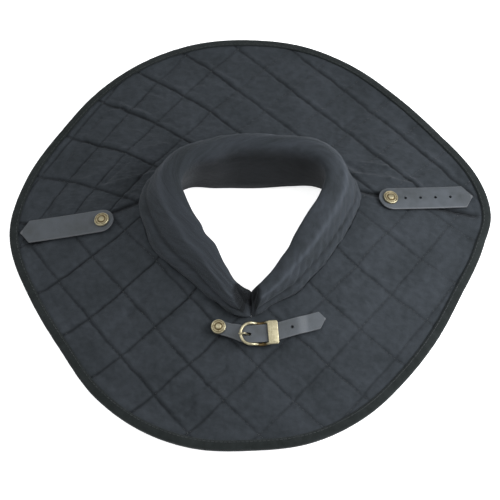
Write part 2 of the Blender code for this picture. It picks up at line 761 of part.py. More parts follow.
def buckle(brass, leather):
    """Centre-bar buckle with its prong, on a leather tab."""
    world = front_frame()
    rail = buckle_rail()
    half_width = (BUCKLE_WIDTH - BUCKLE_WIRE) / 2
    bar_level = CLEARANCE + BUCKLE_WIRE / 2
    bar = [(BAR_PLACE, -half_width, bar_level), (BAR_PLACE, half_width, bar_level)]
    join_solids("buckle_frame", [
        tube_mesh(rail, [BUCKLE_WIRE / 2] * len(rail), world),
        tube_mesh(bar, [BAR_WIRE / 2] * 2, world),
        plate_mesh(world),
    ], brass)

    # The prong runs from the bar under the strap, and up through its slot onto the round end
    bar_side = BAR_PLACE - BAR_WIRE / 2 - CLEARANCE
    under = STRAP_LEVEL - CLEARANCE - PRONG_WIRE / 2
    over = FRAME_LEVEL + BUCKLE_WIRE + CLEARANCE + PRONG_WIRE / 2
    rise = (over - under) / 2
    left = -BUCKLE_LENGTH / 2
    prong = [
        (bar_side, 0, under), (PRONG_SLOT_PLACE + PRONG_WIRE, 0, under),
        (PRONG_SLOT_PLACE, 0, under + rise * 0.6), (PRONG_SLOT_PLACE - PRONG_WIRE, 0, over - rise * 0.3),
        (left + 0.005, 0, over), (left + BUCKLE_WIRE / 2, 0, over), (left - 0.0008, 0, over - 0.0001),
    ]
    radii = [PRONG_WIRE / 2 * share for share in (1, 1, 1, 1, 1, 0.9, 0.7)]
    mesh_object("buckle_prong", tube_mesh(prong, radii, world), brass)

    def no_lift(along):
        return 0.0

    start = BAR_PLACE + BUCKLE_WIRE / 2 + CLEARANCE
    count = 5
    stations = [(start + TAB_LENGTH * k / count, TAB_WIDTH / 2) for k in range(count + 1)]
    mesh_object("buckle_tab", strap_mesh(stations, front_place(no_lift)), leather)


def make_material(name, colour, roughness, metallic):
    material = bpy.data.materials.new(name)
    material.use_nodes = True
    shader = material.node_tree.nodes["Principled BSDF"]
    shader.inputs["Base Color"].default_value = (*colour, 1)
    shader.inputs["Roughness"].default_value = roughness
    shader.inputs["Metallic"].default_value = metallic
    return material


def build():
    canvas = make_material("quilted_canvas", (0.045, 0.050, 0.055), 0.9, 0.0)
    band_cloth = make_material("band_canvas", (0.038, 0.042, 0.047), 0.9, 0.0)
    tape = make_material("binding_tape", (0.020, 0.024, 0.025), 0.85, 0.0)
    leather = make_material("strap_leather", (0.090, 0.095, 0.105), 0.5, 0.0)
    brass = make_material("antique_brass", (0.50, 0.42, 0.28), 0.4, 1.0)

    mesh_object("front_panel", panel_mesh(SHOULDER_LEFT, SHOULDER_RIGHT, FRONT_QUILT), canvas)
    mesh_object("back_panel", panel_mesh(SHOULDER_RIGHT, SHOULDER_LEFT, BACK_QUILT), canvas)
    mesh_object("neck_band", band_mesh(), band_cloth)
    mesh_object("hem_binding", binding_mesh(), tape)
    for row in STRAP_ROWS:
        side_strap(row, leather, brass)
    front_strap(leather, brass)
    buckle(brass, leather)


for old in list(bpy.data.objects):
    bpy.data.objects.remove(old)
COLLAR = bpy.data.collections.new("padded_collar")
CUTTERS = bpy.data.collections.new("cutters")
bpy.context.scene.collection.children.link(COLLAR)
bpy.context.scene.collection.children.link(CUTTERS)
ROOT = bpy.data.objects.new("padded_collar", None)
COLLAR.objects.link(ROOT)
build()
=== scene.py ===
"""The looks of a padded collar: quilted canvas mantle, padded neck band, leather and brass.

Everything is in metres, in the frame of the solids, with the front of the collar towards -Y.
Reaches are measured from the neck's centre, and bearings in degrees from the front, turning
towards +X. Plan arrays are x and y apart, so that each function works on a whole grid at once.
"""

import math
from collections import namedtuple

import bmesh
import bpy
import numpy as np
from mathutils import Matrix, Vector


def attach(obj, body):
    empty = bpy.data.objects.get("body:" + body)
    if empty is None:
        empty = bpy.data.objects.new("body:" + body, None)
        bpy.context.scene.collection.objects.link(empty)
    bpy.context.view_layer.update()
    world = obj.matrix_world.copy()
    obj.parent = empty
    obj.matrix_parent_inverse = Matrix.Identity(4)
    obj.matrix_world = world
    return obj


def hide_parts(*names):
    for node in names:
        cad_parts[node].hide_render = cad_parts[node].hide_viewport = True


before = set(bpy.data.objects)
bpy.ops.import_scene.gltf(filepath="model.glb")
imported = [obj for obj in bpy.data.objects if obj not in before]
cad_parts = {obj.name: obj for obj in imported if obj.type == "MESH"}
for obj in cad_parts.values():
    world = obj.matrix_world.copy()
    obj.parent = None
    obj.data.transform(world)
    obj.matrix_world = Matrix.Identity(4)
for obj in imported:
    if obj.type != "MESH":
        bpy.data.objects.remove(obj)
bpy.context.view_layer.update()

# Sizes of the solids
CLEARANCE = 0.0003
HEM_REACH = 0.240
NECK_REACH = 0.100
RIM_HEIGHT = 0.070
SHOULDER_LIFT = 0.030
MANTLE_THICKNESS = 0.0120
HEM_THICKNESS = 0.0040
MANTLE_SAG = 0.25
TAPE_THICKNESS = 0.0010
TAPE_WIDTH = 0.0090
BAND_WALL = 0.016
BAND_ROOT = 0.0125
NOTCH_FOOT = 0.0
NOTCH_RIGHT = 4.5
NOTCH_LEFT = 11.5
NOTCH_CLOSED = 0.7
LEATHER = 0.0020
SIDE_STRAP_WIDTH = 0.025
STRAP_POINT = 0.009
STRAP_HOLE = 0.0030
STRAP_HOLE_PITCH = 0.0155
FRONT_STRAP_WIDTH = 0.0165
FRONT_STRAP_ROOT_WIDTH = 0.0140
FRONT_STRAP_LENGTH = 0.106
FRONT_STRAP_POINT = 0.006
FRONT_STRAP_DROP = 0.0190
FRONT_STRAP_TURN_LEFT = 24.0
FRONT_STRAP_TURN_RIGHT = 12.5
FRONT_STRAP_TURN_RUN = 0.008
FRONT_RIVET_PLACE = -0.036
STRAIGHT_HALF = 0.009
FOLLOW_RUN = 0.012
RIVET_DIAMETER = 0.0150
RIVET_HEIGHT = 0.0030
RIVET_POST = 0.0040
RIVET_INSET = 0.0107
FRONT_RIVET_DIAMETER = 0.0138
FRONT_RIVET_INSET = 0.0065
BUCKLE_LENGTH = 0.036
BUCKLE_WIDTH = 0.0225
BUCKLE_WIRE = 0.0026
BUCKLE_BEARING = 3.5
BUCKLE_HEADING = 95.0
BUCKLE_ROUND = 0.0095
PLATE_LENGTH = 0.0095
PLATE_THICKNESS = 0.0018
PLATE_ROUND = 0.0022
BAR_WIRE = 0.0022
BAR_PLACE = 0.0035
PRONG_WIRE = 0.0018
PRONG_SLOT = 0.0075
PRONG_SLOT_PLACE = -0.0105
TAB_LENGTH = 0.030
TAB_WIDTH = 0.0145

HEM_TOP = TAPE_THICKNESS + CLEARANCE + HEM_THICKNESS
HEM_MARGIN = TAPE_WIDTH + 0.001
HEM_INSET = TAPE_THICKNESS + 2 * CLEARANCE
STRAP_LEVEL = 2 * CLEARANCE + BAR_WIRE + CLEARANCE
FRAME_LEVEL = STRAP_LEVEL + LEATHER + CLEARANCE
TAPE_TOP = HEM_TOP + CLEARANCE + TAPE_THICKNESS

# Outline of the hem: reach is a share of HEM_REACH
HemRow = namedtuple("HemRow", "bearing reach")
HEM_ROWS = [
    HemRow(0, 0.877), HemRow(15, 0.876), HemRow(30, 0.860), HemRow(45, 0.839),
    HemRow(60, 0.841), HemRow(75, 0.869), HemRow(90, 0.950), HemRow(98, 1.002),
    HemRow(108, 1.012), HemRow(125, 0.981), HemRow(140, 0.992), HemRow(155, 1.035),
    HemRow(168, 1.067), HemRow(180, 1.077), HemRow(193, 1.082), HemRow(206, 1.067),
    HemRow(220, 1.036), HemRow(235, 1.000), HemRow(252, 1.000), HemRow(267, 0.993),
    HemRow(286, 0.912), HemRow(302, 0.877), HemRow(318, 0.892), HemRow(333, 0.900),
    HemRow(346, 0.895),
]

# The neck all round: seam and rim are shares of NECK_REACH to the band's outer face, rise of
# RIM_HEIGHT to its top, wall of BAND_WALL, and lift of SHOULDER_LIFT to the mantle's top
NeckRow = namedtuple("NeckRow", "bearing seam rim rise wall lift")
NECK_ROWS = [
    NeckRow(0, 0.885, 0.810, 0.60, 1.00, 0.83), NeckRow(15, 0.780, 0.730, 0.65, 1.05, 0.87),
    NeckRow(33, 0.773, 0.640, 0.74, 1.08, 0.93), NeckRow(48, 0.752, 0.620, 0.80, 1.13, 1.00),
    NeckRow(63, 0.775, 0.640, 0.85, 1.38, 1.03), NeckRow(80, 0.837, 0.695, 0.89, 1.56, 1.03),
    NeckRow(96, 0.972, 0.800, 0.92, 1.76, 1.00), NeckRow(111, 1.129, 0.970, 0.95, 1.85, 0.90),
    NeckRow(124, 1.160, 1.050, 0.97, 1.36, 0.75), NeckRow(136, 1.120, 1.080, 0.98, 1.32, 0.60),
    NeckRow(150, 0.990, 1.010, 1.00, 1.28, 0.50), NeckRow(165, 0.870, 0.926, 1.00, 1.10, 0.47),
    NeckRow(180, 0.835, 0.905, 1.00, 1.08, 0.47), NeckRow(195, 0.870, 0.915, 1.00, 1.14, 0.47),
    NeckRow(210, 1.000, 0.950, 1.00, 1.52, 0.50), NeckRow(224, 1.140, 1.010, 0.98, 1.58, 0.60),
    NeckRow(240, 1.170, 0.990, 0.97, 1.58, 0.75), NeckRow(252, 1.150, 0.905, 0.95, 1.82, 0.90),
    NeckRow(264, 1.045, 0.790, 0.92, 1.68, 1.00), NeckRow(280, 0.960, 0.670, 0.89, 1.44, 1.03),
    NeckRow(292, 0.870, 0.640, 0.86, 1.30, 1.03), NeckRow(311, 0.780, 0.600, 0.80, 1.20, 1.00),
    NeckRow(335, 0.800, 0.700, 0.70, 1.15, 0.90), NeckRow(348, 0.870, 0.790, 0.62, 1.10, 0.85),
]

# Section of the band: across from the outer face, share of the root, share of the rise above it
BandRow = namedtuple("BandRow", "across root rise")
BAND_ROWS = [
    BandRow(0.00, 0.0, 0.00), BandRow(0.00, 0.5, 0.00), BandRow(0.00, 1.0, 0.00),
    BandRow(-0.06, 1.0, 0.18), BandRow(-0.10, 1.0, 0.35), BandRow(-0.09, 1.0, 0.56),
    BandRow(-0.04, 1.0, 0.77), BandRow(0.04, 1.0, 0.90), BandRow(0.22, 1.0, 0.975),
    BandRow(0.50, 1.0, 1.00), BandRow(0.78, 1.0, 0.97), BandRow(0.96, 1.0, 0.89),
    BandRow(1.04, 1.0, 0.75), BandRow(1.08, 1.0, 0.52), BandRow(1.07, 1.0, 0.28),
    BandRow(1.02, 0.8, 0.00), BandRow(0.98, 0.4, 0.00), BandRow(0.90, 0.0, 0.00),
    BandRow(0.45, 0.0, 0.00),
]

# Shoulder seams: where each meets the neck and the hem
ShoulderRow = namedtuple("ShoulderRow", "neck_bearing hem_bearing")
SHOULDER_RIGHT = ShoulderRow(117, 97.5)
SHOULDER_LEFT = ShoulderRow(251, 271)

# Quilting: two families of lines, offset from the origin as shares of their pitch, how fast they
# bend back, per metre squared from x = 0, and how deep each family lies on the left and the right
QuiltRow = namedtuple(
    "QuiltRow", "rising_pitch falling_pitch rising_offset falling_offset bow_left bow_right "
    "rising_left rising_right falling_left falling_right")
FRONT_QUILT = QuiltRow(0.0455, 0.0443, -0.55, 0.576, 0.8, 0.8, 1.0, 0.55, 0.65, 0.45)
BACK_QUILT = QuiltRow(0.0402, 0.0402, 0.17, 0.677, -1.8, -0.2, 0.8, 0.25, 1.0, 0.9)

# Folds and dents in the mantle: both ends in plan as shares of HEM_REACH, width as a share of
# FOLD_WIDTH and height of FOLD_HEIGHT, where a height below zero is a dent
FoldRow = namedtuple("FoldRow", "x1 y1 x2 y2 width height")
FOLD_ROWS = [
    FoldRow(-0.61, 0.57, -0.55, 0.59, 0.9, 1.0), FoldRow(-0.55, 0.59, -0.46, 0.55, 0.9, 1.0),
    FoldRow(-0.91, 0.14, -0.85, 0.22, 0.9, 0.8), FoldRow(-0.60, 0.16, -0.41, 0.22, 1.0, 0.9),
    FoldRow(-0.46, 0.35, -0.36, 0.38, 1.0, 0.8), FoldRow(-0.73, 0.19, -0.65, 0.22, 0.9, 0.7),
    FoldRow(-0.33, 0.69, -0.21, 0.70, 0.9, 0.8), FoldRow(-0.21, 0.81, -0.07, 0.73, 0.9, 0.8),
    FoldRow(-0.71, 0.47, -0.66, 0.54, 0.8, -1.0), FoldRow(-0.80, 0.29, -0.76, 0.38, 0.8, -1.0),
    FoldRow(-0.84, 0.05, -0.83, 0.13, 0.8, -0.8), FoldRow(-0.83, 0.13, -0.78, 0.18, 0.8, -0.8),
    FoldRow(-0.61, 0.18, -0.52, 0.29, 0.8, -0.9), FoldRow(-0.46, 0.69, -0.39, 0.66, 0.8, -0.9),
    FoldRow(0.42, 0.21, 0.58, 0.19, 0.9, 0.9), FoldRow(0.58, 0.19, 0.70, 0.17, 0.9, 0.9),
    FoldRow(0.46, 0.28, 0.57, 0.26, 0.8, 0.8), FoldRow(0.57, 0.26, 0.63, 0.22, 0.8, 0.8),
    FoldRow(0.40, 0.28, 0.46, 0.23, 0.8, -0.9), FoldRow(0.40, 0.49, 0.45, 0.54, 0.8, -0.9),
    FoldRow(0.68, 0.22, 0.76, 0.27, 0.8, -0.9), FoldRow(0.53, 0.59, 0.58, 0.63, 0.8, -0.8),
    FoldRow(-0.57, -0.53, -0.48, -0.43, 1.5, -1.2), FoldRow(-0.48, -0.43, -0.41, -0.36, 1.5, -1.2),
    FoldRow(-0.23, -0.77, -0.10, -0.66, 0.8, -1.2), FoldRow(-0.25, -0.84, -0.22, -0.80, 0.8, -0.9),
    FoldRow(0.91, -0.12, 0.94, -0.20, 0.9, 0.8), FoldRow(0.94, -0.20, 0.92, -0.28, 0.9, 0.8),
    FoldRow(0.88, -0.29, 0.77, -0.41, 0.9, 0.8), FoldRow(0.57, -0.76, 0.68, -0.65, 0.9, 0.8),
]
FOLD_WIDTH = 0.0034
FOLD_HEIGHT = 0.0017

# Side straps: where the rivet is, reach and length as shares of HEM_REACH, and which way the tip
# points
StrapRow = namedtuple("StrapRow", "side bearing reach heading length holes")
STRAP_ROWS = [
    StrapRow("left", 263.3, 0.606, 273.6, 0.388, 0),
    StrapRow("right", 107.2, 0.594, 98.0, 0.402, 4),
]

# Cloth relief on the mantle
PILLOW_DEPTH = 0.0030
PILLOW_POWER = 0.36
GROOVE_DEPTH = 0.0007
GROOVE_WIDTH = 0.0012
PUCKER_DEPTH = 0.0009
PUCKER_PITCH = 0.0075
PUCKER_REACH = 0.009
WRINKLE_DEPTH = 0.0015
WRINKLE_SIZE = 0.026
CREASE_DEPTH = 0.0009
CREASE_SIZE = 0.011
LINE_SWAY = 0.0018
SWAY_SIZE = 0.030
HEM_FADE = 0.010
NECK_FADE = 0.012
RIDGE_HEIGHT = 0.0014
RIDGE_WIDTH = 0.0028
SEAM_DEPTH = 0.0026
SEAM_WIDTH = 0.0030
LEAST_THICKNESS = 0.0016
PANEL_COLUMNS = 640
PANEL_ROWS = 120
PANEL_COARSE = 4

# Stitching
STITCH_LENGTH = 0.0030
STITCH_PITCH = 0.0045
STITCH_RADIUS = 0.00028
STITCH_SIDES = 6
STITCH_MARGIN = 0.003

# Neck band: its mesh, how its ends are rounded, then its rings, pulls and lumps. A ring's place
# and width are shares of the rise
BAND_COLUMNS = 840
BAND_SIDES = 76
BAND_TOP = 36
BAND_CROWDING = 0.85
BAND_END_ROUND = 0.006
BAND_END_LEAST = 0.3
BAND_END_MIDDLE = 0.85
RingRow = namedtuple("RingRow", "place width height")
BAND_ROLL = RingRow(0.18, 0.13, 0.0020)
BAND_CREASE = RingRow(0.42, 0.055, -0.0012)
BAND_RIM = RingRow(0.90, 0.050, 0.0003)
PULL_DEPTH = 0.0007
PULL_PITCH = 0.011
LUMP_HEIGHT = 0.0010
LUMP_SIZE = 0.022
RUMPLE_HEIGHT = 0.0004
RUMPLE_SIZE = 0.009

# Binding tape
TAPE_COLUMNS = 1100
TAPE_SIDES = 25
TAPE_PUCKER = 0.00028
TAPE_PUCKER_PITCH = 0.006
TAPE_DIP = 0.0002

# Leather
STRAP_STEP = 0.0016
STRAP_SIDES = 25
STRAP_LEAST_HALF = 0.0007
STRAP_EDGE_ROUND = 0.0007
# width of the pale strap edges, partly burnished wear and partly painted highlight
STRAP_EDGE_WEAR_AND_HIGHLIGHT = 0.0012
CREASE_LINE_INSET = 0.0020
CREASE_LINE_DEPTH = 0.00022
CREASE_LINE_WIDTH = 0.0003

# Turned profile of a rivet's cap: radius and height shares, and how dark the brass is there
RivetRow = namedtuple("RivetRow", "radius height recess")
RIVET_ROWS = [
    RivetRow(0.00, 0.97, 0.1), RivetRow(0.16, 0.96, 0.1), RivetRow(0.32, 0.90, 0.2),
    RivetRow(0.40, 0.80, 0.5), RivetRow(0.45, 0.62, 1.0), RivetRow(0.50, 0.58, 1.0),
    RivetRow(0.55, 0.64, 0.6), RivetRow(0.64, 0.72, 0.2), RivetRow(0.72, 0.68, 0.4),
    RivetRow(0.76, 0.60, 0.9), RivetRow(0.80, 0.64, 0.6), RivetRow(0.86, 0.74, 0.1),
    RivetRow(0.92, 0.70, 0.0), RivetRow(0.97, 0.52, 0.0), RivetRow(1.00, 0.28, 0.2),
    RivetRow(0.99, 0.10, 0.6), RivetRow(0.95, 0.00, 1.0),
]
RIVET_SIDES = 72
BEADS = 18
BEAD_PLACE = 0.64
BEAD_WIDTH = 0.07
BEAD_HEIGHT = 0.00022
WIRE_SIDES = 20
HOLE_SIDES = 32

# The photograph's view: a long lens from in front, high up
CAMERA_AIM = (-0.0012, -0.0386, 0.020)
CAMERA_DISTANCE = 1.1
CAMERA_ELEVATION = 60.0
CAMERA_LENS = 82.5
SENSOR = 36.0

# Soft boxes: place in metres, side in metres, power in watts and colour
LightRow = namedtuple("LightRow", "name place size power colour")
LIGHT_ROWS = [
    LightRow("key", (0.6, -0.15, 0.5), 0.45, 6.5, (0.95, 0.975, 1.0)),
    LightRow("fill", (-1.1, 0.0, 1.2), 1.2, 5.6, (0.97, 1.0, 0.99)),
    LightRow("top", (0.0, 0.25, 1.7), 2.2, 8.5, (0.98, 1.0, 0.99)),
]
WORLD_STRENGTH = 0.38
FLOOR_HALF = 30.0
FLOOR_DROP = 0.0002

# Fixed random numbers that every relief is read from
LATTICE_SIZE = 64
LATTICE = np.random.default_rng(11).random((LATTICE_SIZE, LATTICE_SIZE))


def ease(value):
    """Smooth step from 0 to 1."""
    t = np.clip(value, 0.0, 1.0)
    return t * t * (3 - 2 * t)


def bell(gap, width):
    """Smooth bump: 1 where there is no gap, nearly 0 past two widths."""
    return np.exp(-(gap / width) ** 2)


def spots(*columns):
    """Points from their coordinates, spread to one shape."""
    return np.stack(np.broadcast_arrays(*columns), axis=-1)


def hermite(t, low, high, low_slope, high_slope):
    """Smooth curve between two values with given slopes, while t runs from 0 to 1."""
    return (
        low * (1 + 2 * t) * (1 - t) ** 2 + low_slope * t * (1 - t) ** 2
        + high * t * t * (3 - 2 * t) + high_slope * t * t * (t - 1)
    )


def noise(x, y, size, turn=0.6):
    """Smooth random relief from about -1 to 1, with bumps about one size apart."""
    total = np.zeros(np.broadcast(x, y).shape)
    for level in range(3):
        angle = turn + level * 1.1
        u = (x * math.cos(angle) + y * math.sin(angle)) * 2 ** level / size + 7.3 * level
        v = (y * math.cos(angle) - x * math.sin(angle)) * 2 ** level / size + 3.1 * level
        i = np.floor(u).astype(int)
        j = np.floor(v).astype(int)
        s = ease(u - i)
        t = ease(v - j)
        corners = [
            LATTICE[(i + a) % LATTICE_SIZE, (j + b) % LATTICE_SIZE] for b in (0, 1) for a in (0, 1)
        ]
        low = corners[0] * (1 - s) + corners[1] * s
        high = corners[2] * (1 - s) + corners[3] * s
        total += (2 * (low * (1 - t) + high * t) - 1) * 0.6 ** level
    return total / 1.5


def smooth(rows, name, bearing):
    """Read a closed table at bearings, on a smooth curve through its rows, as the solids do."""
    places = np.array([row.bearing for row in rows], float)
    values = np.array([getattr(row, name) for row in rows], float)
    slopes = (np.roll(values, -1) - np.roll(values, 1)) / (
        (np.roll(places, -1) - np.roll(places, 1)) % 360)
    turn = np.asarray(bearing, float) % 360
    here = np.searchsorted(places, turn, side="right") - 1
    there = (here + 1) % len(rows)
    span = (places[there] - places[here]) % 360
    t = (turn - places[here]) / span
    return hermite(t, values[here], values[there], slopes[here] * span, slopes[there] * span)


def direction(bearing):
    """Unit steps in plan at bearings, as x and y."""
    turn = np.radians(bearing)
    return np.sin(turn), -np.cos(turn)


def hem_reach(bearing):
    return HEM_REACH * smooth(HEM_ROWS, "reach", bearing)


def neck_size(name, bearing):
    """One of the neck's sizes at bearings, in metres."""
    whole = {
        "seam": NECK_REACH, "rim": NECK_REACH, "rise": RIM_HEIGHT,
        "wall": BAND_WALL, "lift": SHOULDER_LIFT,
    }[name]
    return whole * smooth(NECK_ROWS, name, bearing)


def find_neck_centre():
    """Place the neck so that the hem's box is centred on the origin."""
    bearings = np.arange(360)
    x, y = direction(bearings) * hem_reach(bearings)
    return -(x.min() + x.max()) / 2, -(y.min() + y.max()) / 2


NECK_CENTRE = find_neck_centre()


def polar(bearing, reach):
    """Points in plan at bearings and reaches from the neck's centre."""
    x, y = direction(bearing)
    return NECK_CENTRE[0] + x * reach, NECK_CENTRE[1] + y * reach


def bearing_of(x, y):
    """Bearings and reaches of points in plan."""
    dx = x - NECK_CENTRE[0]
    dy = y - NECK_CENTRE[1]
    return np.degrees(np.arctan2(dx, -dy)) % 360, np.hypot(dx, dy)


Envelope = namedtuple("Envelope", "top thickness from_hem from_seam bearing")


def envelope(x, y):
    """Top of the mantle's pillows at points in plan, as in the solids, and the places there."""
    bearing, reach = bearing_of(x, y)
    seam = neck_size("seam", bearing)
    flat = hem_reach(bearing) - HEM_MARGIN
    share = np.clip((reach - seam) / (flat - seam), 0.0, 1.0)
    lift = neck_size("lift", bearing)
    top = HEM_TOP + (lift - HEM_TOP) * (1 - share) * (1 - MANTLE_SAG * share)
    thickness = MANTLE_THICKNESS + (HEM_THICKNESS - MANTLE_THICKNESS) * share
    return Envelope(top, thickness, flat - reach, reach - seam, bearing)


def unit(vectors):
    return vectors / np.maximum(np.linalg.norm(vectors, axis=-1, keepdims=True), 1e-12)


class Seat:
    """A place on the mantle: X along a heading, Z along the surface's normal."""

    def __init__(self, x, y, heading, height=0.0):
        step = 0.004
        ax, ay = direction(heading)
        along = np.array([ax, ay])
        across = np.array([-ay, ax])

        def rise(way):
            low, high = (envelope(x + side * way[0] * step, y + side * way[1] * step).top
                         for side in (-1, 1))
            return (high - low) / (2 * step)

        x_axis = unit(np.array([*along, rise(along)]))
        z_axis = unit(np.cross(x_axis, np.array([*across, rise(across)])))
        self.axes = np.array([x_axis, np.cross(z_axis, x_axis), z_axis])
        self.origin = np.array([x, y, envelope(x, y).top]) + z_axis * height

    def place(self, points):
        """Turn points along the seat's axes into points of the frame."""
        return self.origin + np.asarray(points) @ self.axes


def bow(quilt, x):
    """How far the quilting lines are bent towards the back at places across the collar."""
    return np.where(x < 0, quilt.bow_left, quilt.bow_right) * x * x


def sway(x, y):
    """How far the stitched lines wander from true."""
    return LINE_SWAY * noise(x, y, SWAY_SIZE, 2.6)


def quilt_numbers(quilt, x, y):
    """Line numbers of plan points in both families, where whole numbers are stitched lines."""
    bent = y + sway(x, y) - bow(quilt, x)
    rising = (bent - x) / math.sqrt(2) / quilt.rising_pitch - quilt.rising_offset
    falling = (bent + x) / math.sqrt(2) / quilt.falling_pitch - quilt.falling_offset
    return rising, falling


def quilt_point(quilt, rising, falling):
    """Plan points of line numbers, the inverse of quilt_numbers."""
    a = (rising + quilt.rising_offset) * quilt.rising_pitch
    b = (falling + quilt.falling_offset) * quilt.falling_pitch
    x = (b - a) / math.sqrt(2)
    y = (b + a) / math.sqrt(2) + bow(quilt, x)
    return x, y - sway(x, y - sway(x, y))


def line_strength(left, right, x, y, turn):
    """How deep a family of quilting lines lies, uneven as in worn cloth."""
    side = ease((x + 0.10) / 0.16)
    uneven = np.clip(0.85 + 0.35 * noise(x, y, 0.07, turn), 0.35, 1.1)
    return np.clip((left + (right - left) * side) * uneven, 0.0, 1.0)


def away_from(x, y, ax, ay, bx, by):
    """Distance from plan points to a straight run."""
    run_x = bx - ax
    run_y = by - ay
    t = np.clip(((x - ax) * run_x + (y - ay) * run_y) / (run_x ** 2 + run_y ** 2), 0, 1)
    return np.hypot(x - ax - t * run_x, y - ay - t * run_y)


def fold_relief(x, y):
    """Height of the mantle's folds and dents, with no fold under a side strap."""
    total = np.zeros(np.shape(x))
    for row in FOLD_ROWS:
        ends = [share * HEM_REACH for share in (row.x1, row.y1, row.x2, row.y2)]
        fall = bell(away_from(x, y, *ends), FOLD_WIDTH * row.width)
        total = total + FOLD_HEIGHT * row.height * fall
    for row in STRAP_ROWS:
        x0, y0 = polar(row.bearing, HEM_REACH * row.reach)
        ax, ay = direction(row.heading)
        tip = HEM_REACH * row.length - RIVET_INSET
        gap = away_from(x, y, x0, y0, x0 + ax * tip, y0 + ay * tip) - SIDE_STRAP_WIDTH / 2
        total = np.where(total > 0, total * ease(gap / 0.004), total)
    return total


# crevice: weight of painted shade in the quilting grooves, seams and the band's hollows
Relief = namedtuple("Relief", "top crevice")


def mantle_relief(quilt, x, y, from_shoulder):
    """Top of a quilted panel, and how deep in a stitched line or seam each point lies, as the weight
    of painted shade there.
    """
    at = envelope(x, y)
    rising, falling = quilt_numbers(quilt, x, y)
    to_rising = np.abs(rising - np.round(rising)) * quilt.rising_pitch
    to_falling = np.abs(falling - np.round(falling)) * quilt.falling_pitch
    rising_depth = line_strength(quilt.rising_left, quilt.rising_right, x, y, 0.4)
    falling_depth = line_strength(quilt.falling_left, quilt.falling_right, x, y, 1.9)
    pillow = (
        (1 - rising_depth * (1 - np.abs(np.sin(np.pi * rising)) ** PILLOW_POWER))
        * (1 - falling_depth * (1 - np.abs(np.sin(np.pi * falling)) ** PILLOW_POWER))
    )
    groove = np.maximum(
        bell(to_rising, GROOVE_WIDTH) * rising_depth,
        bell(to_falling, GROOVE_WIDTH) * falling_depth)
    along_rising = falling * quilt.falling_pitch
    along_falling = rising * quilt.rising_pitch
    near_rising = noise(along_rising, to_rising * 0.35, PUCKER_PITCH) * rising_depth
    near_falling = noise(to_falling * 0.35, along_falling, PUCKER_PITCH) * falling_depth
    pucker = (
        near_rising * np.exp(-to_rising / PUCKER_REACH)
        + near_falling * np.exp(-to_falling / PUCKER_REACH)
    )
    edge = ease(at.from_hem / HEM_FADE)
    depth = PILLOW_DEPTH * (0.35 + 0.65 * edge) * (0.4 + 0.6 * ease(at.from_seam / NECK_FADE))
    seam = bell(from_shoulder, SEAM_WIDTH) * edge
    wrinkle = WRINKLE_DEPTH * (0.5 - 0.5 * noise(x, y, WRINKLE_SIZE))
    wrinkle = wrinkle + CREASE_DEPTH * np.abs(noise(x * 0.6 + y, y - x * 0.4, CREASE_SIZE, 0.2))
    beside = (falling - np.round(falling)) * quilt.falling_pitch - RIDGE_WIDTH * 1.2
    ridge = RIDGE_HEIGHT * bell(beside, RIDGE_WIDTH) * falling_depth
    relief = depth * (1 - pillow) + GROOVE_DEPTH * groove * (0.4 + 0.6 * edge) - ridge * edge
    relief = relief + (PUCKER_DEPTH * (0.6 + pucker) + wrinkle) * edge + SEAM_DEPTH * seam
    top = at.top - np.maximum(relief, 0.0) + fold_relief(x, y) * edge
    return Relief(top, np.clip(np.maximum(groove, seam), 0, 1))


def build_mesh(name, points, faces, uv=None, **weights):
    """Smooth mesh with its normals facing out, a UV map in metres and named point weights."""
    mesh = bpy.data.meshes.new(name)
    mesh.from_pydata(np.asarray(points).tolist(), [], faces)
    loops = np.zeros(len(mesh.loops), np.int32)
    mesh.loops.foreach_get("vertex_index", loops)
    if uv is not None:
        layer = mesh.uv_layers.new(name="UVMap")
        layer.data.foreach_set("uv", np.asarray(uv, np.float32)[loops].ravel())
    for key, values in weights.items():
        attribute = mesh.attributes.new(key, "FLOAT", "POINT")
        attribute.data.foreach_set("value", np.asarray(values, np.float32).ravel())
    work = bmesh.new()
    work.from_mesh(mesh)
    bmesh.ops.recalc_face_normals(work, faces=work.faces[:])
    work.to_mesh(mesh)
    work.free()
    mesh.shade_smooth()
    return mesh


def add_object(name, data):
    """Put a mesh, a camera or a light into the scene."""
    thing = bpy.data.objects.new(name, data)
    bpy.context.scene.collection.objects.link(thing)
    return thing


def add_piece(name, mesh, material, slot, *nodes):
    """Add a mesh as a piece that rides on the collar and stands for nodes of the solids."""
    piece = add_object(name, mesh)
    mesh.materials.append(material)
    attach(piece, "root")
    if nodes:
        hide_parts(*nodes)
    return piece


def grid_faces(columns, rows, around=False, start=0):
    """Quads of a grid of points, column after column, closed across its rows if around."""
    faces = []
    steps = rows if around else rows - 1
    for i in range(columns - 1):
        here = start + i * rows
        there = here + rows
        for j in range(steps):
            k = (j + 1) % rows
            faces.append((here + j, here + k, there + k, there + j))
    return faces


def tube_faces(columns, rows, cyclic=False):
    """Quads of a closed section carried along, joined end to end or with capped ends."""
    faces = grid_faces(columns, rows, around=True)
    if cyclic:
        last = (columns - 1) * rows
        for j in range(rows):
            k = (j + 1) % rows
            faces.append((last + j, last + k, k, j))
    else:
        faces.append(tuple(range(rows)))
        faces.append(tuple(reversed(range((columns - 1) * rows, columns * rows))))
    return faces


def lengths_along(points, axis):
    """Running length of a grid of points along one of its directions."""
    steps = np.linalg.norm(np.diff(points, axis=axis), axis=-1)
    shape = list(steps.shape)
    shape[axis] = 1
    return np.concatenate([np.zeros(shape), np.cumsum(steps, axis=axis)], axis=axis)


def panel_plan(start, end, across, out):
    """Plan points of a panel between two shoulder seams, from the neck's seam to the hem."""
    neck_span = (end.neck_bearing - start.neck_bearing) % 360
    hem_span = (end.hem_bearing - start.hem_bearing) % 360
    neck_bearing = start.neck_bearing + neck_span * across
    hem_bearing = start.hem_bearing + hem_span * across
    inner = polar(neck_bearing, neck_size("seam", neck_bearing) + CLEARANCE)
    outer = polar(hem_bearing, hem_reach(hem_bearing) - HEM_INSET)
    return [a + (b - a) * out for a, b in zip(inner, outer)]
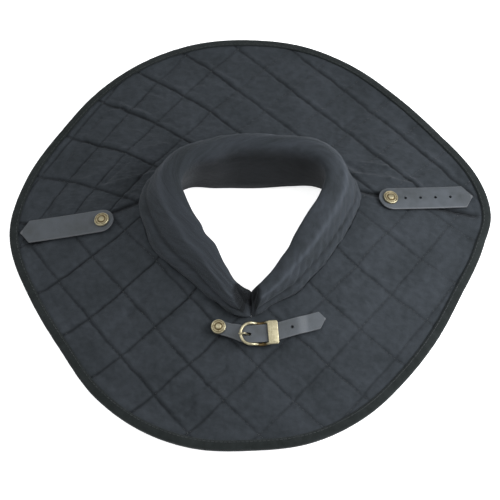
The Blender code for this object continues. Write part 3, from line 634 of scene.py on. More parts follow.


# crevice carries the weight of painted shade in the grooves and seams
Layer = namedtuple("Layer", "x y top bottom crevice")


def panel_layer(start, end, quilt, columns, rows):
    """A grid over a panel, drawn in by half the clearance along its shoulder seams."""
    across, out = np.meshgrid(
        np.linspace(0, 1, columns + 1), np.linspace(0, 1, rows + 1), indexing="ij")
    x, y = panel_plan(start, end, across, out)
    to_side = np.minimum(across, 1 - across)
    width = np.hypot(x[-1] - x[0], y[-1] - y[0])
    relief = mantle_relief(quilt, x, y, to_side * width * (math.pi / 2))
    at = envelope(x, y)
    inset = np.sign(across - 0.5) * (to_side < 1e-9) * CLEARANCE / 2
    tangent = np.stack([np.gradient(x, axis=0), np.gradient(y, axis=0)])
    tangent = tangent / np.hypot(*tangent)
    x = x - tangent[0] * inset
    y = y - tangent[1] * inset
    bottom = at.top - at.thickness
    return Layer(x, y, np.maximum(relief.top, bottom + LEAST_THICKNESS), bottom, relief.crevice)


def make_panel(name, start, end, quilt, material):
    """Quilted panel with a fine top, a coarser underside and walls between them."""
    high = panel_layer(start, end, quilt, PANEL_COLUMNS, PANEL_ROWS)
    low_columns = PANEL_COLUMNS // PANEL_COARSE
    low_rows = PANEL_ROWS // PANEL_COARSE
    low = panel_layer(start, end, quilt, low_columns, low_rows)
    upper = spots(high.x, high.y, high.top).reshape(-1, 3)
    lower = spots(low.x, low.y, low.bottom).reshape(-1, 3)
    shift = len(upper)
    faces = grid_faces(PANEL_COLUMNS + 1, PANEL_ROWS + 1)
    faces += [f[::-1] for f in grid_faces(low_columns + 1, low_rows + 1, start=shift)]
    fine = np.arange(shift).reshape(PANEL_COLUMNS + 1, PANEL_ROWS + 1)
    coarse = shift + np.arange(len(lower)).reshape(low_columns + 1, low_rows + 1)
    for fine_grid, coarse_grid in ((fine, coarse), (fine.T, coarse.T)):
        for k in range(len(coarse_grid) - 1):
            first = k * PANEL_COARSE
            for side in (0, -1):
                run = fine_grid[first:first + PANEL_COARSE + 1, side]
                faces.append((*run.tolist(), *coarse_grid[k:k + 2, side][::-1].tolist()))
    points = np.concatenate([upper, lower])
    # painted shade in the quilting grooves and shoulder seams, kept as a point weight
    weight = np.concatenate([high.crevice.ravel(), low.crevice.ravel()])
    mesh = build_mesh(name, points, faces, uv=points[:, :2], crevice=weight)
    piece = add_piece(name + "_cloth", mesh, material, "quilted_canvas", name)


def closed_curve(rows, count):
    """Even points on a smooth closed curve through a table's rows, column by column."""
    table = np.array(rows, float)
    slopes = (np.roll(table, -1, axis=0) - np.roll(table, 1, axis=0)) / 2
    place = np.arange(count) * len(rows) / count
    here = np.floor(place).astype(int)
    there = (here + 1) % len(rows)
    t = (place - here)[:, None]
    return hermite(t, table[here], table[there], slopes[here], slopes[there])


def band_shares():
    """Places along the band, closer together towards its ends."""
    even = np.linspace(0, 1, BAND_COLUMNS)
    return even - BAND_CROWDING * np.sin(2 * np.pi * even) / (2 * np.pi)


def band_bearing(share, rise, across):
    """Bearing of a place along the band: its ends part towards the rim, as a notch."""
    closed = NOTCH_CLOSED * ease((across - 0.05) / 0.35)
    parted = np.clip((rise - closed) / (1 - closed), 0, 1)
    right = NOTCH_FOOT + NOTCH_RIGHT * parted
    left = NOTCH_FOOT + NOTCH_LEFT * parted
    return right + (360 - left - right) * share


def band_points(bearing, across, root, rise):
    """Points of the neck band's plain surface."""
    seam = neck_size("seam", bearing)
    reach = seam + (neck_size("rim", bearing) - seam) * rise - neck_size("wall", bearing) * across
    lift = neck_size("lift", bearing)
    height = lift - BAND_ROOT * (1 - root) + (neck_size("rise", bearing) - lift) * rise
    return spots(*polar(bearing, reach), height)


def band_faces():
    """Quads along the band, and caps paired across each end from its top down."""
    faces = grid_faces(BAND_COLUMNS, BAND_SIDES, around=True)
    for start in (0, (BAND_COLUMNS - 1) * BAND_SIDES):
        top = start + BAND_TOP
        faces.append((top - 1, top, top + 1))
        faces += [(top - k - 1, top - k, top + k, top + k + 1) for k in range(1, BAND_TOP)]
        faces.append((start, *range(start + 2 * BAND_TOP, start + BAND_SIDES)))
    return faces


def outward(points):
    """Unit normals of a grid of closed sections, away from each section's middle."""
    along = np.gradient(points, axis=0)
    around = np.roll(points, -1, axis=1) - np.roll(points, 1, axis=1)
    normal = unit(np.cross(along, around))
    middle = points.mean(axis=1, keepdims=True)
    if np.mean(np.sum(normal * (points - middle), axis=-1)) < 0:
        normal = -normal
    return normal


def make_band(material):
    """Padded neck band with a roll at its base, a piped rim, soft folds and rounded ends."""
    across, root, rise = (column[None, :] for column in closed_curve(BAND_ROWS, BAND_SIDES).T)
    bearing = band_bearing(band_shares()[:, None], rise, across)
    plain = band_points(bearing, across, root, rise)
    run = lengths_along(plain, 0)
    girth = lengths_along(plain, 1)
    to_end = np.minimum(run, run[-1:] - run)
    end_round = BAND_END_ROUND * (0.03 + 0.97 * np.clip(rise, 0, 1))
    t = np.clip(to_end / end_round, 0, 1)
    shrink = np.maximum(np.sqrt(1 - (1 - t) ** 2), BAND_END_LEAST)
    thinned = BAND_END_MIDDLE + (across - BAND_END_MIDDLE) * shrink
    points = band_points(bearing, thinned, root, rise * (0.95 + 0.05 * shrink))

    outer = ease((0.3 - across) / 0.25) * ease(root * 2 - 1)
    inner = ease((across - 0.7) / 0.2)
    roll, crease, rim = (
        bell(rise - ring.place, ring.width) * outer for ring in (BAND_ROLL, BAND_CREASE, BAND_RIM))
    push = BAND_ROLL.height * roll + BAND_CREASE.height * crease + BAND_RIM.height * rim
    calm = 1 - 0.75 * ease((across - 0.35) / 0.3)
    push = push + LUMP_HEIGHT * noise(run, girth * 1.6, LUMP_SIZE) * calm
    drawn = 0.3 + 0.7 * ease((bearing - 15) / 25) * ease((150 - bearing) / 30)
    slant = np.sin(2 * np.pi * (run - girth * 0.7) / PULL_PITCH + 2.4 * noise(run, girth, 0.03))
    push = push + PULL_DEPTH * slant * drawn * (0.6 + 0.4 * noise(run, girth, 0.02, 2.0)) * outer
    push = push + RUMPLE_HEIGHT * noise(run * 0.6 + girth * 1.5, girth, RUMPLE_SIZE) * outer
    push = push * ease((plain[..., 2] - 0.004) / 0.008) * ease(to_end / 0.005)
    points = points + outward(plain) * push[..., None]
    uv = spots(run, girth).reshape(-1, 2)
    # painted shade: darker on the inner wall towards its foot, in the crease ring and in the notch
    # between the band's ends
    shade = inner * (1 - ease((rise - 0.65) / 0.35))
    notch = (1 - ease((to_end - 0.0005) / 0.005)) * ease((rise - 0.10) / 0.35)
    crevice = np.clip(0.5 * crease + shade + notch, 0, 1)
    # painted highlight along the rim's outer edge, as the wear weight
    mesh = build_mesh(
        "neck_band", points.reshape(-1, 3), band_faces(), uv=uv,
        crevice=crevice, wear=0.5 * rim + np.zeros_like(run))
    piece = add_piece("neck_band_cloth", mesh, material, "band_canvas", "neck_band")


def tape_section():
    """Inset and level round the folded tape: its outside from below, then its inside back."""
    section = []
    for k in range(TAPE_SIDES):
        turn = math.pi * (k / (TAPE_SIDES - 1) - 0.5)
        inset = TAPE_WIDTH * (1 - math.cos(turn) ** 0.62) * 0.999
        level = TAPE_TOP / 2 * (1 - math.copysign(abs(math.sin(turn)) ** 0.42, math.sin(turn)))
        section.append((inset, TAPE_TOP - level))
    inside = [
        (TAPE_WIDTH, TAPE_THICKNESS * 0.9), (TAPE_WIDTH * 0.5, TAPE_THICKNESS),
        (TAPE_THICKNESS, TAPE_THICKNESS * 1.5),
    ]
    section += [(inset, TAPE_TOP - level) for inset, level in inside]
    return np.array(section + inside[::-1])


def make_binding(material):
    """Tape folded round the hem, slightly puckered by its stitches."""
    bearing = np.arange(TAPE_COLUMNS)[:, None] * 360 / TAPE_COLUMNS
    arc = np.radians(bearing) * HEM_REACH
    inset, level = (column[None, :] for column in tape_section().T)
    pucker = noise(arc, inset * 0.4, TAPE_PUCKER_PITCH) * TAPE_PUCKER
    facing = ease((TAPE_WIDTH - inset) / 0.002) * (level > TAPE_TOP * 0.25)
    x, y = polar(bearing, hem_reach(bearing) - inset + np.minimum(pucker, 0) * facing)
    points = spots(x, y, level + pucker * facing * (inset > 0.002) - TAPE_DIP * facing)
    uv = spots(arc, lengths_along(points, 1)).reshape(-1, 2)
    faces = tube_faces(*points.shape[:2], cyclic=True)
    mesh = build_mesh("hem_binding", points.reshape(-1, 3), faces, uv=uv)
    add_piece("hem_binding_tape", mesh, material, "binding_tape", "hem_binding")


def strap_stations(length, width, point, inset):
    """Places along a strap from its rivet, each with half its width: a round end, then a point."""
    stations = []
    for k in range(15):
        turn = math.pi / 2 * k / 14
        stations.append((-inset + width / 2 * (1 - math.cos(turn)), width / 2 * math.sin(turn)))
    straight = stations[-1][0]
    shoulder = length - inset - point
    count = round((shoulder - straight) / STRAP_STEP)
    for k in range(1, count + 1):
        stations.append((straight + (shoulder - straight) * k / count, width / 2))
    for k in range(1, 7):
        stations.append((shoulder + point * k / 6, width / 2 * (1 - k / 6)))
    return [(along, max(half, STRAP_LEAST_HALF)) for along, half in stations]


def strap_section(half):
    """Across, height and edge weight round a leather strip with pale edges, partly burnished wear
    and partly painted highlight.
    """
    across = half * np.sin(np.linspace(-math.pi / 2, math.pi / 2, STRAP_SIDES))
    to_edge = half - np.abs(across)
    round_share = np.clip(1 - to_edge / STRAP_EDGE_ROUND, 0, 1)
    drop = STRAP_EDGE_ROUND * (1 - np.sqrt(1 - round_share ** 2))
    line = CREASE_LINE_DEPTH * bell(to_edge - CREASE_LINE_INSET, CREASE_LINE_WIDTH)
    edge = np.clip(1 - to_edge / STRAP_EDGE_WEAR_AND_HIGHLIGHT, 0, 1)
    under = across[::-4]
    return (
        np.concatenate([across, under]), np.concatenate([LEATHER - drop - line, drop[::-4]]),
        np.concatenate([edge, np.ones(len(under))]),
    )


def make_strap(name, stations, place, material, cutters=()):
    """Leather strip whose place function turns along, across and height arrays into points."""
    points = []
    edges = []
    uv = []
    for along, half in stations:
        across, height, edge = strap_section(half)
        points.append(place(np.full(len(across), along), across, height))
        edges.append(edge)
        uv.append(spots(along, across + height))
    edges = np.array(edges)
    edges[:2] = 1.0
    edges[-2:] = 1.0
    mesh = build_mesh(
        name, np.concatenate(points), tube_faces(*edges.shape), uv=np.concatenate(uv), edge=edges)
    piece = add_piece(name + "_leather", mesh, material, "strap_leather", name)
    cut(piece, cutters)


def cut(piece, cutters):
    """Cut punched holes through a strap and keep the result as its mesh."""
    for cutter in cutters:
        modifier = piece.modifiers.new("hole", "BOOLEAN")
        modifier.operation = "DIFFERENCE"
        modifier.solver = "EXACT"
        modifier.object = cutter
    if cutters:
        bpy.context.view_layer.update()
        graph = bpy.context.evaluated_depsgraph_get()
        mesh = bpy.data.meshes.new_from_object(piece.evaluated_get(graph))
        piece.modifiers.clear()
        piece.data = mesh
        mesh.set_sharp_from_angle(angle=math.radians(45))
        for cutter in cutters:
            bpy.data.objects.remove(cutter)


def hole_cutter(seat, length, width):
    """Round or slotted cutter standing on a seat."""
    turn = np.arange(HOLE_SIDES) * 2 * math.pi / HOLE_SIDES
    x = width / 2 * np.cos(turn)
    x = x + np.sign(x) * (length - width) / 2
    y = width / 2 * np.sin(turn)
    rings = [seat.place(spots(x, y, z)) for z in (-4 * LEATHER, 4 * LEATHER)]
    return add_object("hole", build_mesh("hole", np.concatenate(rings), tube_faces(2, HOLE_SIDES)))


def make_rivet(name, seat, diameter, material):
    """Turned cap with a dome, a beaded ring and a rolled rim, and its post through the leather."""
    radius = diameter / 2
    rows = [(r.radius * radius, r.height * RIVET_HEIGHT, r.recess) for r in RIVET_ROWS[1:]]
    rows += [(RIVET_POST / 2, 0.0, 1.0), (RIVET_POST / 2, -LEATHER, 1.0)]
    turn = np.arange(RIVET_SIDES) * 2 * math.pi / RIVET_SIDES
    beads = np.cos(turn * BEADS)
    points = []
    recess = []
    for r, z, dark in rows:
        ring = bell(r / radius - BEAD_PLACE, BEAD_WIDTH)
        height = z + BEAD_HEIGHT * ring * beads
        points.append(seat.place(spots(r * np.cos(turn), r * np.sin(turn), height)))
        recess.append(dark - 0.3 * ring * beads)
    columns = len(points)
    points.append(seat.place([[0, 0, RIVET_ROWS[0].height * RIVET_HEIGHT]]))
    recess.append([RIVET_ROWS[0].recess])
    faces = grid_faces(columns, RIVET_SIDES, around=True)
    centre = columns * RIVET_SIDES
    faces += [(k, (k + 1) % RIVET_SIDES, centre) for k in range(RIVET_SIDES)]
    faces.append(tuple(range(centre - RIVET_SIDES, centre)))
    mesh = build_mesh(name, np.concatenate(points), faces, recess=np.concatenate(recess))
    add_piece(name + "_cap", mesh, material, "antique_brass", name)


def side_strap(row, leather, brass):
    """Strap laid out over the shoulder, with the rivet that holds it."""
    x0, y0 = polar(row.bearing, HEM_REACH * row.reach)
    ax, ay = direction(row.heading)

    def place(along, across, height):
        x = x0 + ax * along - ay * across
        y = y0 + ay * along + ax * across
        return spots(x, y, envelope(x, y).top + 2 * CLEARANCE + height)

    length = HEM_REACH * row.length
    stations = strap_stations(length, SIDE_STRAP_WIDTH, STRAP_POINT, RIVET_INSET)
    cutters = []
    for k in range(1, row.holes + 1):
        along = STRAP_HOLE_PITCH * k
        seat = Seat(x0 + ax * along, y0 + ay * along, row.heading)
        cutters.append(hole_cutter(seat, STRAP_HOLE, STRAP_HOLE))
    make_strap("side_strap_" + row.side, stations, place, leather, cutters)
    seat = Seat(x0, y0, row.heading, 3 * CLEARANCE + LEATHER)
    make_rivet("rivet_" + row.side, seat, RIVET_DIAMETER, brass)


def front_seat():
    """Where the buckle sits: X along the strap to the right, Z off the mantle."""
    reach = neck_size("seam", BUCKLE_BEARING) + FRONT_STRAP_DROP
    x, y = polar(BUCKLE_BEARING, reach)
    return Seat(float(x), float(y), BUCKLE_HEADING)


def front_place(seat, lift):
    """Place function of leather laid across the front: flat at the buckle, then down the mantle."""

    def place(along, across, height):
        past = np.maximum(0.0, np.abs(along) - STRAIGHT_HALF)
        turned = np.where(
            past < FRONT_STRAP_TURN_RUN, past * past / (2 * FRONT_STRAP_TURN_RUN),
            past - FRONT_STRAP_TURN_RUN / 2)
        turn = np.where(along < 0, FRONT_STRAP_TURN_LEFT, FRONT_STRAP_TURN_RIGHT)
        shifted = across + np.tan(np.radians(turn)) * turned
        spot = seat.place(spots(along, shifted, 0.0))
        above = spot[..., 2] - envelope(spot[..., 0], spot[..., 1]).top
        follow = ease((np.abs(along) - BUCKLE_LENGTH / 2) / FOLLOW_RUN)
        spot = spot + seat.axes[2] * (CLEARANCE + lift(along) + height)[..., None]
        spot[..., 2] -= follow * above
        return spot

    return place


def strap_lift(along):
    """How far the front strap stands off the mantle: over the bar and the tab."""
    full = STRAP_LEVEL - CLEARANCE
    left = ease((along + BUCKLE_LENGTH * 0.72) / (BUCKLE_LENGTH * 0.4))
    right = ease((BAR_PLACE + TAB_LENGTH + 0.014 - along) / 0.012)
    return full * np.minimum(left, right)


def stand_on(place, along):
    """Seat at a place along the front strap, in the middle of the leather."""
    zero = np.zeros(1)

    def at(a, b, h):
        return place(zero + a, zero + b, zero + h)[0]

    x_axis = unit(at(along + 0.002, 0, 0) - at(along - 0.002, 0, 0))
    z_axis = unit(np.cross(x_axis, at(along, 0.002, 0) - at(along, -0.002, 0)))
    seat = front_seat()
    seat.axes = np.array([x_axis, np.cross(z_axis, x_axis), z_axis])
    seat.origin = at(along, 0, LEATHER / 2)
    return seat


def front_width(along):
    """Width of the front strap: narrower from the rivet to the buckle."""
    wide = ease((along + BUCKLE_LENGTH * 0.7) / (BUCKLE_LENGTH * 0.25))
    return FRONT_STRAP_ROOT_WIDTH + (FRONT_STRAP_WIDTH - FRONT_STRAP_ROOT_WIDTH) * wide


def front_strap(seat, leather, brass):
    """Strap from the front rivet through the buckle to its free tip."""
    place = front_place(seat, strap_lift)
    stations = []
    for along, half in strap_stations(
            FRONT_STRAP_LENGTH, FRONT_STRAP_WIDTH, FRONT_STRAP_POINT, FRONT_RIVET_INSET):
        along = along + FRONT_RIVET_PLACE
        stations.append((along, half / FRONT_STRAP_WIDTH * front_width(along)))
    slot = PRONG_WIRE + 4 * CLEARANCE
    cutters = [
        hole_cutter(stand_on(place, PRONG_SLOT_PLACE), PRONG_SLOT, slot),
        hole_cutter(stand_on(place, BAR_PLACE + 1.8 * STRAP_HOLE_PITCH), STRAP_HOLE, STRAP_HOLE),
    ]
    make_strap("front_strap", stations, place, leather, cutters)
    rivet_seat = stand_on(place, FRONT_RIVET_PLACE)
    rivet_seat.origin = rivet_seat.origin + rivet_seat.axes[2] * (LEATHER / 2 + CLEARANCE)
    make_rivet("rivet_front", rivet_seat, FRONT_RIVET_DIAMETER, brass)


def open_curve(rows, count):
    """Even points on a smooth open curve through rows."""
    table = np.array(rows, float)
    chord = np.concatenate([[0], np.cumsum(np.linalg.norm(np.diff(table, axis=0), axis=1))])
    slopes = np.gradient(table, chord, axis=0)
    place = np.linspace(0, chord[-1], count)
    here = np.clip(np.searchsorted(chord, place, side="right") - 1, 0, len(rows) - 2)
    span = (chord[here + 1] - chord[here])[:, None]
    t = ((place - chord[here])[:, None]) / span
    there = here + 1
    return hermite(t, table[here], table[there], slopes[here] * span, slopes[there] * span)


def wire_points(rows, radii, count, flat=1.0):
    """Rings of a round wire along a smooth curve, flattened by a share from above."""
    line = open_curve(rows, count)
    radius = np.interp(np.linspace(0, 1, count), np.linspace(0, 1, len(radii)), radii)
    along = unit(np.gradient(line, axis=0))
    side = unit(np.cross(along, np.array([0, 0, 1.0])))
    up = np.cross(side, along)
    turn = (np.arange(WIRE_SIDES) * 2 * math.pi / WIRE_SIDES)[None, :, None]
    ring = side[:, None] * np.cos(turn) + up[:, None] * np.sin(turn) * flat
    return line[:, None] + ring * radius[:, None, None]


def buckle_rail():
    """Centreline of the frame's wire: a round end over the strap, dipping to the centre bar."""
    half_width = (BUCKLE_WIDTH - BUCKLE_WIRE) / 2
    left = -(BUCKLE_LENGTH - BUCKLE_WIRE) / 2
    high = FRAME_LEVEL + BUCKLE_WIRE / 2
    low = CLEARANCE + BUCKLE_WIRE / 2
    plate_start = BUCKLE_LENGTH / 2 - PLATE_LENGTH
    turns = [math.pi / 2 * k / 6 for k in range(7)]
    half = [
        (left + BUCKLE_ROUND * (1 - math.cos(t)), half_width * math.sin(t), high) for t in turns
    ]
    half += [
        ((left + BUCKLE_ROUND + BAR_PLACE) / 2 - 0.001, half_width, high * 0.62 + low * 0.38),
        (BAR_PLACE - 0.003, half_width, low + 0.0004),
        (BAR_PLACE, half_width, low),
        (BAR_PLACE + 0.002, half_width, low + 0.0007),
        (plate_start + 0.001, half_width, high - 0.0008),
        (plate_start + 0.004, half_width, high - 0.0004),
        (BUCKLE_LENGTH / 2 - 0.0016, half_width, high - 0.0004),
    ]
    other = [(x, -y, z) for x, y, z in half[1:]]
    return list(reversed(other)) + half


def plate_points():
    """Points and faces of the buckle's wide bar, with rounded corners and edges."""
    work = bmesh.new()
    bmesh.ops.create_cube(work, size=1.0)
    bmesh.ops.scale(work, vec=(PLATE_LENGTH, BUCKLE_WIDTH, PLATE_THICKNESS), verts=work.verts[:])
    upright = [e for e in work.edges if abs(e.verts[0].co.z - e.verts[1].co.z) > 0.0001]
    bmesh.ops.bevel(work, geom=upright, offset=PLATE_ROUND, segments=5, affect="EDGES", profile=0.5)
    level = [e for e in work.edges if abs(e.verts[0].co.z - e.verts[1].co.z) < 0.0001]
    bmesh.ops.bevel(work, geom=level, offset=0.0005, segments=3, affect="EDGES", profile=0.5)
    mesh = bpy.data.meshes.new("plate")
    work.to_mesh(mesh)
    work.free()
    points = np.array([v.co for v in mesh.vertices])
    points[:, 0] += (BUCKLE_LENGTH - PLATE_LENGTH) / 2
    points[:, 2] += FRAME_LEVEL + PLATE_THICKNESS / 2
    return points, [tuple(p.vertices) for p in mesh.polygons]


def buckle_frame(seat, brass):
    """Frame of the centre-bar buckle: its bent wire, its centre bar and its wide bar."""
    half_width = (BUCKLE_WIDTH - BUCKLE_WIRE) / 2
    bar_level = CLEARANCE + BUCKLE_WIRE / 2
    wires = [
        wire_points(buckle_rail(), [BUCKLE_WIRE / 2] * 2, 150, flat=0.9),
        wire_points(
            [(BAR_PLACE, -half_width, bar_level), (BAR_PLACE, half_width, bar_level)],
            [BAR_WIRE / 2] * 2, 12),
    ]
    parts = [(wire.reshape(-1, 3), tube_faces(*wire.shape[:2])) for wire in wires]
    parts.append(plate_points())
    points = []
    faces = []
    for part, part_faces in parts:
        start = sum(len(p) for p in points)
        faces += [tuple(k + start for k in f) for f in part_faces]
        points.append(part)
    whole = np.concatenate(points)
    recess = ease((FRAME_LEVEL - whole[:, 2]) / 0.002)
    mesh = build_mesh("buckle", seat.place(whole), faces, recess=recess)
    mesh.set_sharp_from_angle(angle=math.radians(50))
    add_piece("buckle_frame_brass", mesh, brass, "antique_brass", "buckle_frame")


def buckle_prong(seat, brass):
    """Prong from the bar, under the strap and up through its slot onto the frame's round end."""
    bar_side = BAR_PLACE - BAR_WIRE / 2 - CLEARANCE
    under = STRAP_LEVEL - CLEARANCE - PRONG_WIRE / 2
    over = FRAME_LEVEL + BUCKLE_WIRE + CLEARANCE + PRONG_WIRE / 2
    rise = (over - under) / 2
    left = -BUCKLE_LENGTH / 2
    prong = [
        (bar_side, 0, under), (PRONG_SLOT_PLACE + PRONG_WIRE, 0, under),
        (PRONG_SLOT_PLACE, 0, under + rise * 0.6),
        (PRONG_SLOT_PLACE - PRONG_WIRE, 0, over - rise * 0.3),
        (left + 0.005, 0, over), (left + BUCKLE_WIRE / 2, 0, over),
        (left - 0.0008, 0, over - 0.0001),
    ]
    radii = [PRONG_WIRE / 2 * share for share in (1, 1, 1, 1, 1, 0.9, 0.6)]
    wire = wire_points(prong, radii, 64)
    mesh = build_mesh(
        "prong", seat.place(wire.reshape(-1, 3)), tube_faces(*wire.shape[:2]),
        recess=np.zeros(wire.shape[:2]))
    add_piece("buckle_prong_brass", mesh, brass, "antique_brass", "buckle_prong")


def buckle_tab(seat, leather):
    """Leather tab that holds the buckle's centre bar."""
    start = BAR_PLACE + BUCKLE_WIRE / 2 + CLEARANCE
    stations = [(start + TAB_LENGTH * k / 20, TAB_WIDTH / 2) for k in range(21)]
    make_strap("buckle_tab", stations, front_place(seat, np.zeros_like), leather)


def add_stitches(name, middles, ways, material):
    """One piece of many short stitches, each a small capsule sunk half into the cloth."""
    rings = [(-0.5, 0.2), (-0.44, 0.7), (-0.25, 1.0), (0.25, 1.0), (0.44, 0.7), (0.5, 0.2)]
    turn = np.arange(STITCH_SIDES) * 2 * math.pi / STITCH_SIDES
    capsule = np.array([
        (a * STITCH_LENGTH, r * STITCH_RADIUS * math.cos(t), r * STITCH_RADIUS * math.sin(t))
        for a, r in rings for t in turn
    ])
    along = unit(ways)
    side = unit(np.cross([0.0, 0.0, 1.0], along))
    axes = np.stack([along, side, np.cross(along, side)], axis=1)
    points = middles[:, None] + np.einsum("pk,nkx->npx", capsule, axes)
    one = tube_faces(len(rings), STITCH_SIDES)
    faces = [tuple(k + n * len(capsule) for k in f) for n in range(len(middles)) for f in one]
    add_piece(name, build_mesh(name, points.reshape(-1, 3), faces), material, "binding_tape")


def panel_share(start, end, x, y):
    """Whether plan points lie between two shoulder seams, as their distance inside the nearer."""
    inside = np.full(np.shape(x), 1.0)
    for row, side in ((start, 1), (end, -1)):
        ax, ay = polar(row.neck_bearing, neck_size("seam", row.neck_bearing))
        bx, by = polar(row.hem_bearing, hem_reach(row.hem_bearing))
        run = np.array([bx - ax, by - ay])
        run = run / np.hypot(*run)
        gap = ((x - ax) * -run[1] + (y - ay) * run[0]) * side
        near = (x - ax) * run[0] + (y - ay) * run[1] > -0.02
        inside = np.where(near, np.minimum(inside, gap), inside)
    return inside


def quilt_stitches(start, end, quilt, name, material):
    """Stitches along both families of a panel's quilting lines."""
    reach = int(2 * HEM_REACH / min(quilt.rising_pitch, quilt.falling_pitch))
    lines = np.arange(-reach, reach + 1)
    span = (end.neck_bearing - start.neck_bearing) % 360
    middles = []
    ways = []
    for order, pitch in ((1, quilt.falling_pitch), (-1, quilt.rising_pitch)):
        steps = np.arange(-reach, reach, STITCH_PITCH / pitch)
        line, step = np.meshgrid(lines, steps, indexing="ij")
        (x, y), (x2, y2) = (
            quilt_point(quilt, *(line, step + ahead)[::order]) for ahead in (0.0, 0.02))
        at = envelope(x, y)
        past = (at.bearing - start.neck_bearing) % 360
        gap = panel_share(start, end, x, y)
        keep = (at.from_hem > 0.001) & (at.from_seam > STITCH_MARGIN) & (gap > STITCH_MARGIN)
        keep &= (past < span + 25) | (past > 335)
        x, y, x2, y2, gap = (v[keep] for v in (x, y, x2, y2, gap))
        here = mantle_relief(quilt, x, y, gap).top
        there = mantle_relief(quilt, x2, y2, gap).top
        middles.append(spots(x, y, here + STITCH_RADIUS * 0.3))
        ways.append(spots(x2 - x, y2 - y, there - here))
    add_stitches(name, np.concatenate(middles), np.concatenate(ways), material)


def binding_stitches(material):
    """One row of stitches along the inner edge of the hem's tape."""
    count = int(2 * math.pi * HEM_REACH / STITCH_PITCH)
    bearing = np.arange(count) * 360 / count
    ahead = bearing + 0.2
    inset = TAPE_WIDTH - 0.0018
    x, y = polar(bearing, hem_reach(bearing) - inset)
    x2, y2 = polar(ahead, hem_reach(ahead) - inset)
    middles = spots(x, y, TAPE_TOP - TAPE_DIP)
    add_stitches("binding_stitches", middles, spots(x2 - x, y2 - y, 0.0), material)


class Material:
    """A node material with its shader, and short calls to add and join nodes."""

    def __init__(self, name, **sockets):
        self.data = bpy.data.materials.new(name)
        self.data.use_nodes = True
        self.tree = self.data.node_tree
        self.shader = self.tree.nodes["Principled BSDF"]
        self.fill(self.shader, sockets)

    def put(self, socket, value):
        """Join another node's output to a socket, or set the socket itself."""
        if isinstance(value, bpy.types.NodeSocket):
            self.tree.links.new(value, socket)
        else:
            socket.default_value = value

    def fill(self, node, sockets):
        for key, value in sockets.items():
            self.put(node.inputs[key.replace("_", " ")], value)

    def add(self, kind, settings=None, **sockets):
        node = self.tree.nodes.new("ShaderNode" + kind)
        for key, value in (settings or {}).items():
            setattr(node, key, value)
        self.fill(node, sockets)
        return node

    def math(self, operation, first, second):
        node = self.add("Math", {"operation": operation})
        self.put(node.inputs[0], first)
        self.put(node.inputs[1], second)
        return node.outputs[0]

    def mix(self, factor, first, second):
        node = self.add("Mix", {"data_type": "RGBA"})
        for number, value in ((0, factor), (6, first), (7, second)):
            self.put(node.inputs[number], value)
        return node.outputs[2]

    def tint(self, colour, weight, share, other):
        """Lay a share of another colour over a colour, where a weight says so."""
        return self.mix(self.math("MULTIPLY", weight, share), colour, other)

    def noise(self, vector, scale, detail=3.0, low=0.35, high=0.65):
        """Noise spread to the whole of 0 to 1."""
        node = self.add("TexNoise", Vector=vector, Scale=scale, Detail=detail)
        spread = self.add("MapRange", Value=node.outputs["Fac"], From_Min=low, From_Max=high)
        return spread.outputs[0]

    def weight(self, name):
        return self.add("Attribute", {"attribute_name": name}).outputs["Fac"]

    def bump(self, height, distance, strength, normal=None):
        sockets = {"Height": height, "Distance": distance, "Strength": strength}
        if normal is not None:
            sockets["Normal"] = normal
        return self.add("Bump", **sockets).outputs["Normal"]


def linear(red, green, blue):
    """A colour as it shows in the photograph, 0 to 255, turned into the shader's numbers."""
    def one(value):
        share = value / 255
        return share / 12.92 if share <= 0.04045 else ((share + 0.055) / 1.055) ** 2.4

    return one(red), one(green), one(blue), 1.0


def cloth_material(name, dark, pale, crevice, thread_pitch, twill=0.0):
    """Woven cotton: threads both ways, fibre fuzz, faded patches, painted shade in grooves, seams
    and hollows, and a painted highlight along the band's rim.
    """
    made = Material(name, Roughness=0.92, Sheen_Weight=0.10, Sheen_Roughness=0.45)
    made.shader.inputs["Specular IOR Level"].default_value = 0.15
    made.shader.inputs["Sheen Tint"].default_value = (0.75, 0.80, 0.88, 1)
    uv = made.add("TexCoord").outputs["UV"]
    scale = 2 * math.pi / (20 * thread_pitch)
    threads = []
    for way, extra in (("X", 0.0), ("Y", twill)):
        wave = made.add(
            "TexWave", {"bands_direction": way}, Vector=uv, Scale=scale, Distortion=1.2 + extra,
            Detail=1.0, Detail_Scale=0.6)
        threads.append(wave.outputs["Fac"])
    weave = made.math("MULTIPLY", threads[0], threads[1])
    fibre = made.noise(uv, 900.0, 4.0, 0.3, 0.7)
    patches = made.noise(uv, 22.0, 5.0)
    slubs = made.noise(uv, 140.0, 3.0)
    tone = made.math("MULTIPLY", patches, 0.50)
    for layer, share in ((slubs, 0.40), (fibre, 0.20)):
        tone = made.math("ADD", tone, made.math("MULTIPLY", layer, share))
    colour = made.mix(tone, dark, pale)
    # painted highlight: a paler bluish colour where the wear weight says so
    colour = made.tint(colour, made.weight("wear"), 0.7, linear(84, 89, 97))
    # painted shade: the crevice weight darkens grooves, seams, the band's crease, inner wall and
    # notch
    colour = made.tint(colour, made.weight("crevice"), 0.85, crevice)
    made.fill(made.shader, {"Base_Color": colour})
    soft = made.bump(slubs, 0.0005, 0.35)
    fuzzy = made.bump(fibre, 0.00025, 0.4, soft)
    made.fill(made.shader, {"Normal": made.bump(weave, 0.00035, 0.7, fuzzy)})
    return made.data


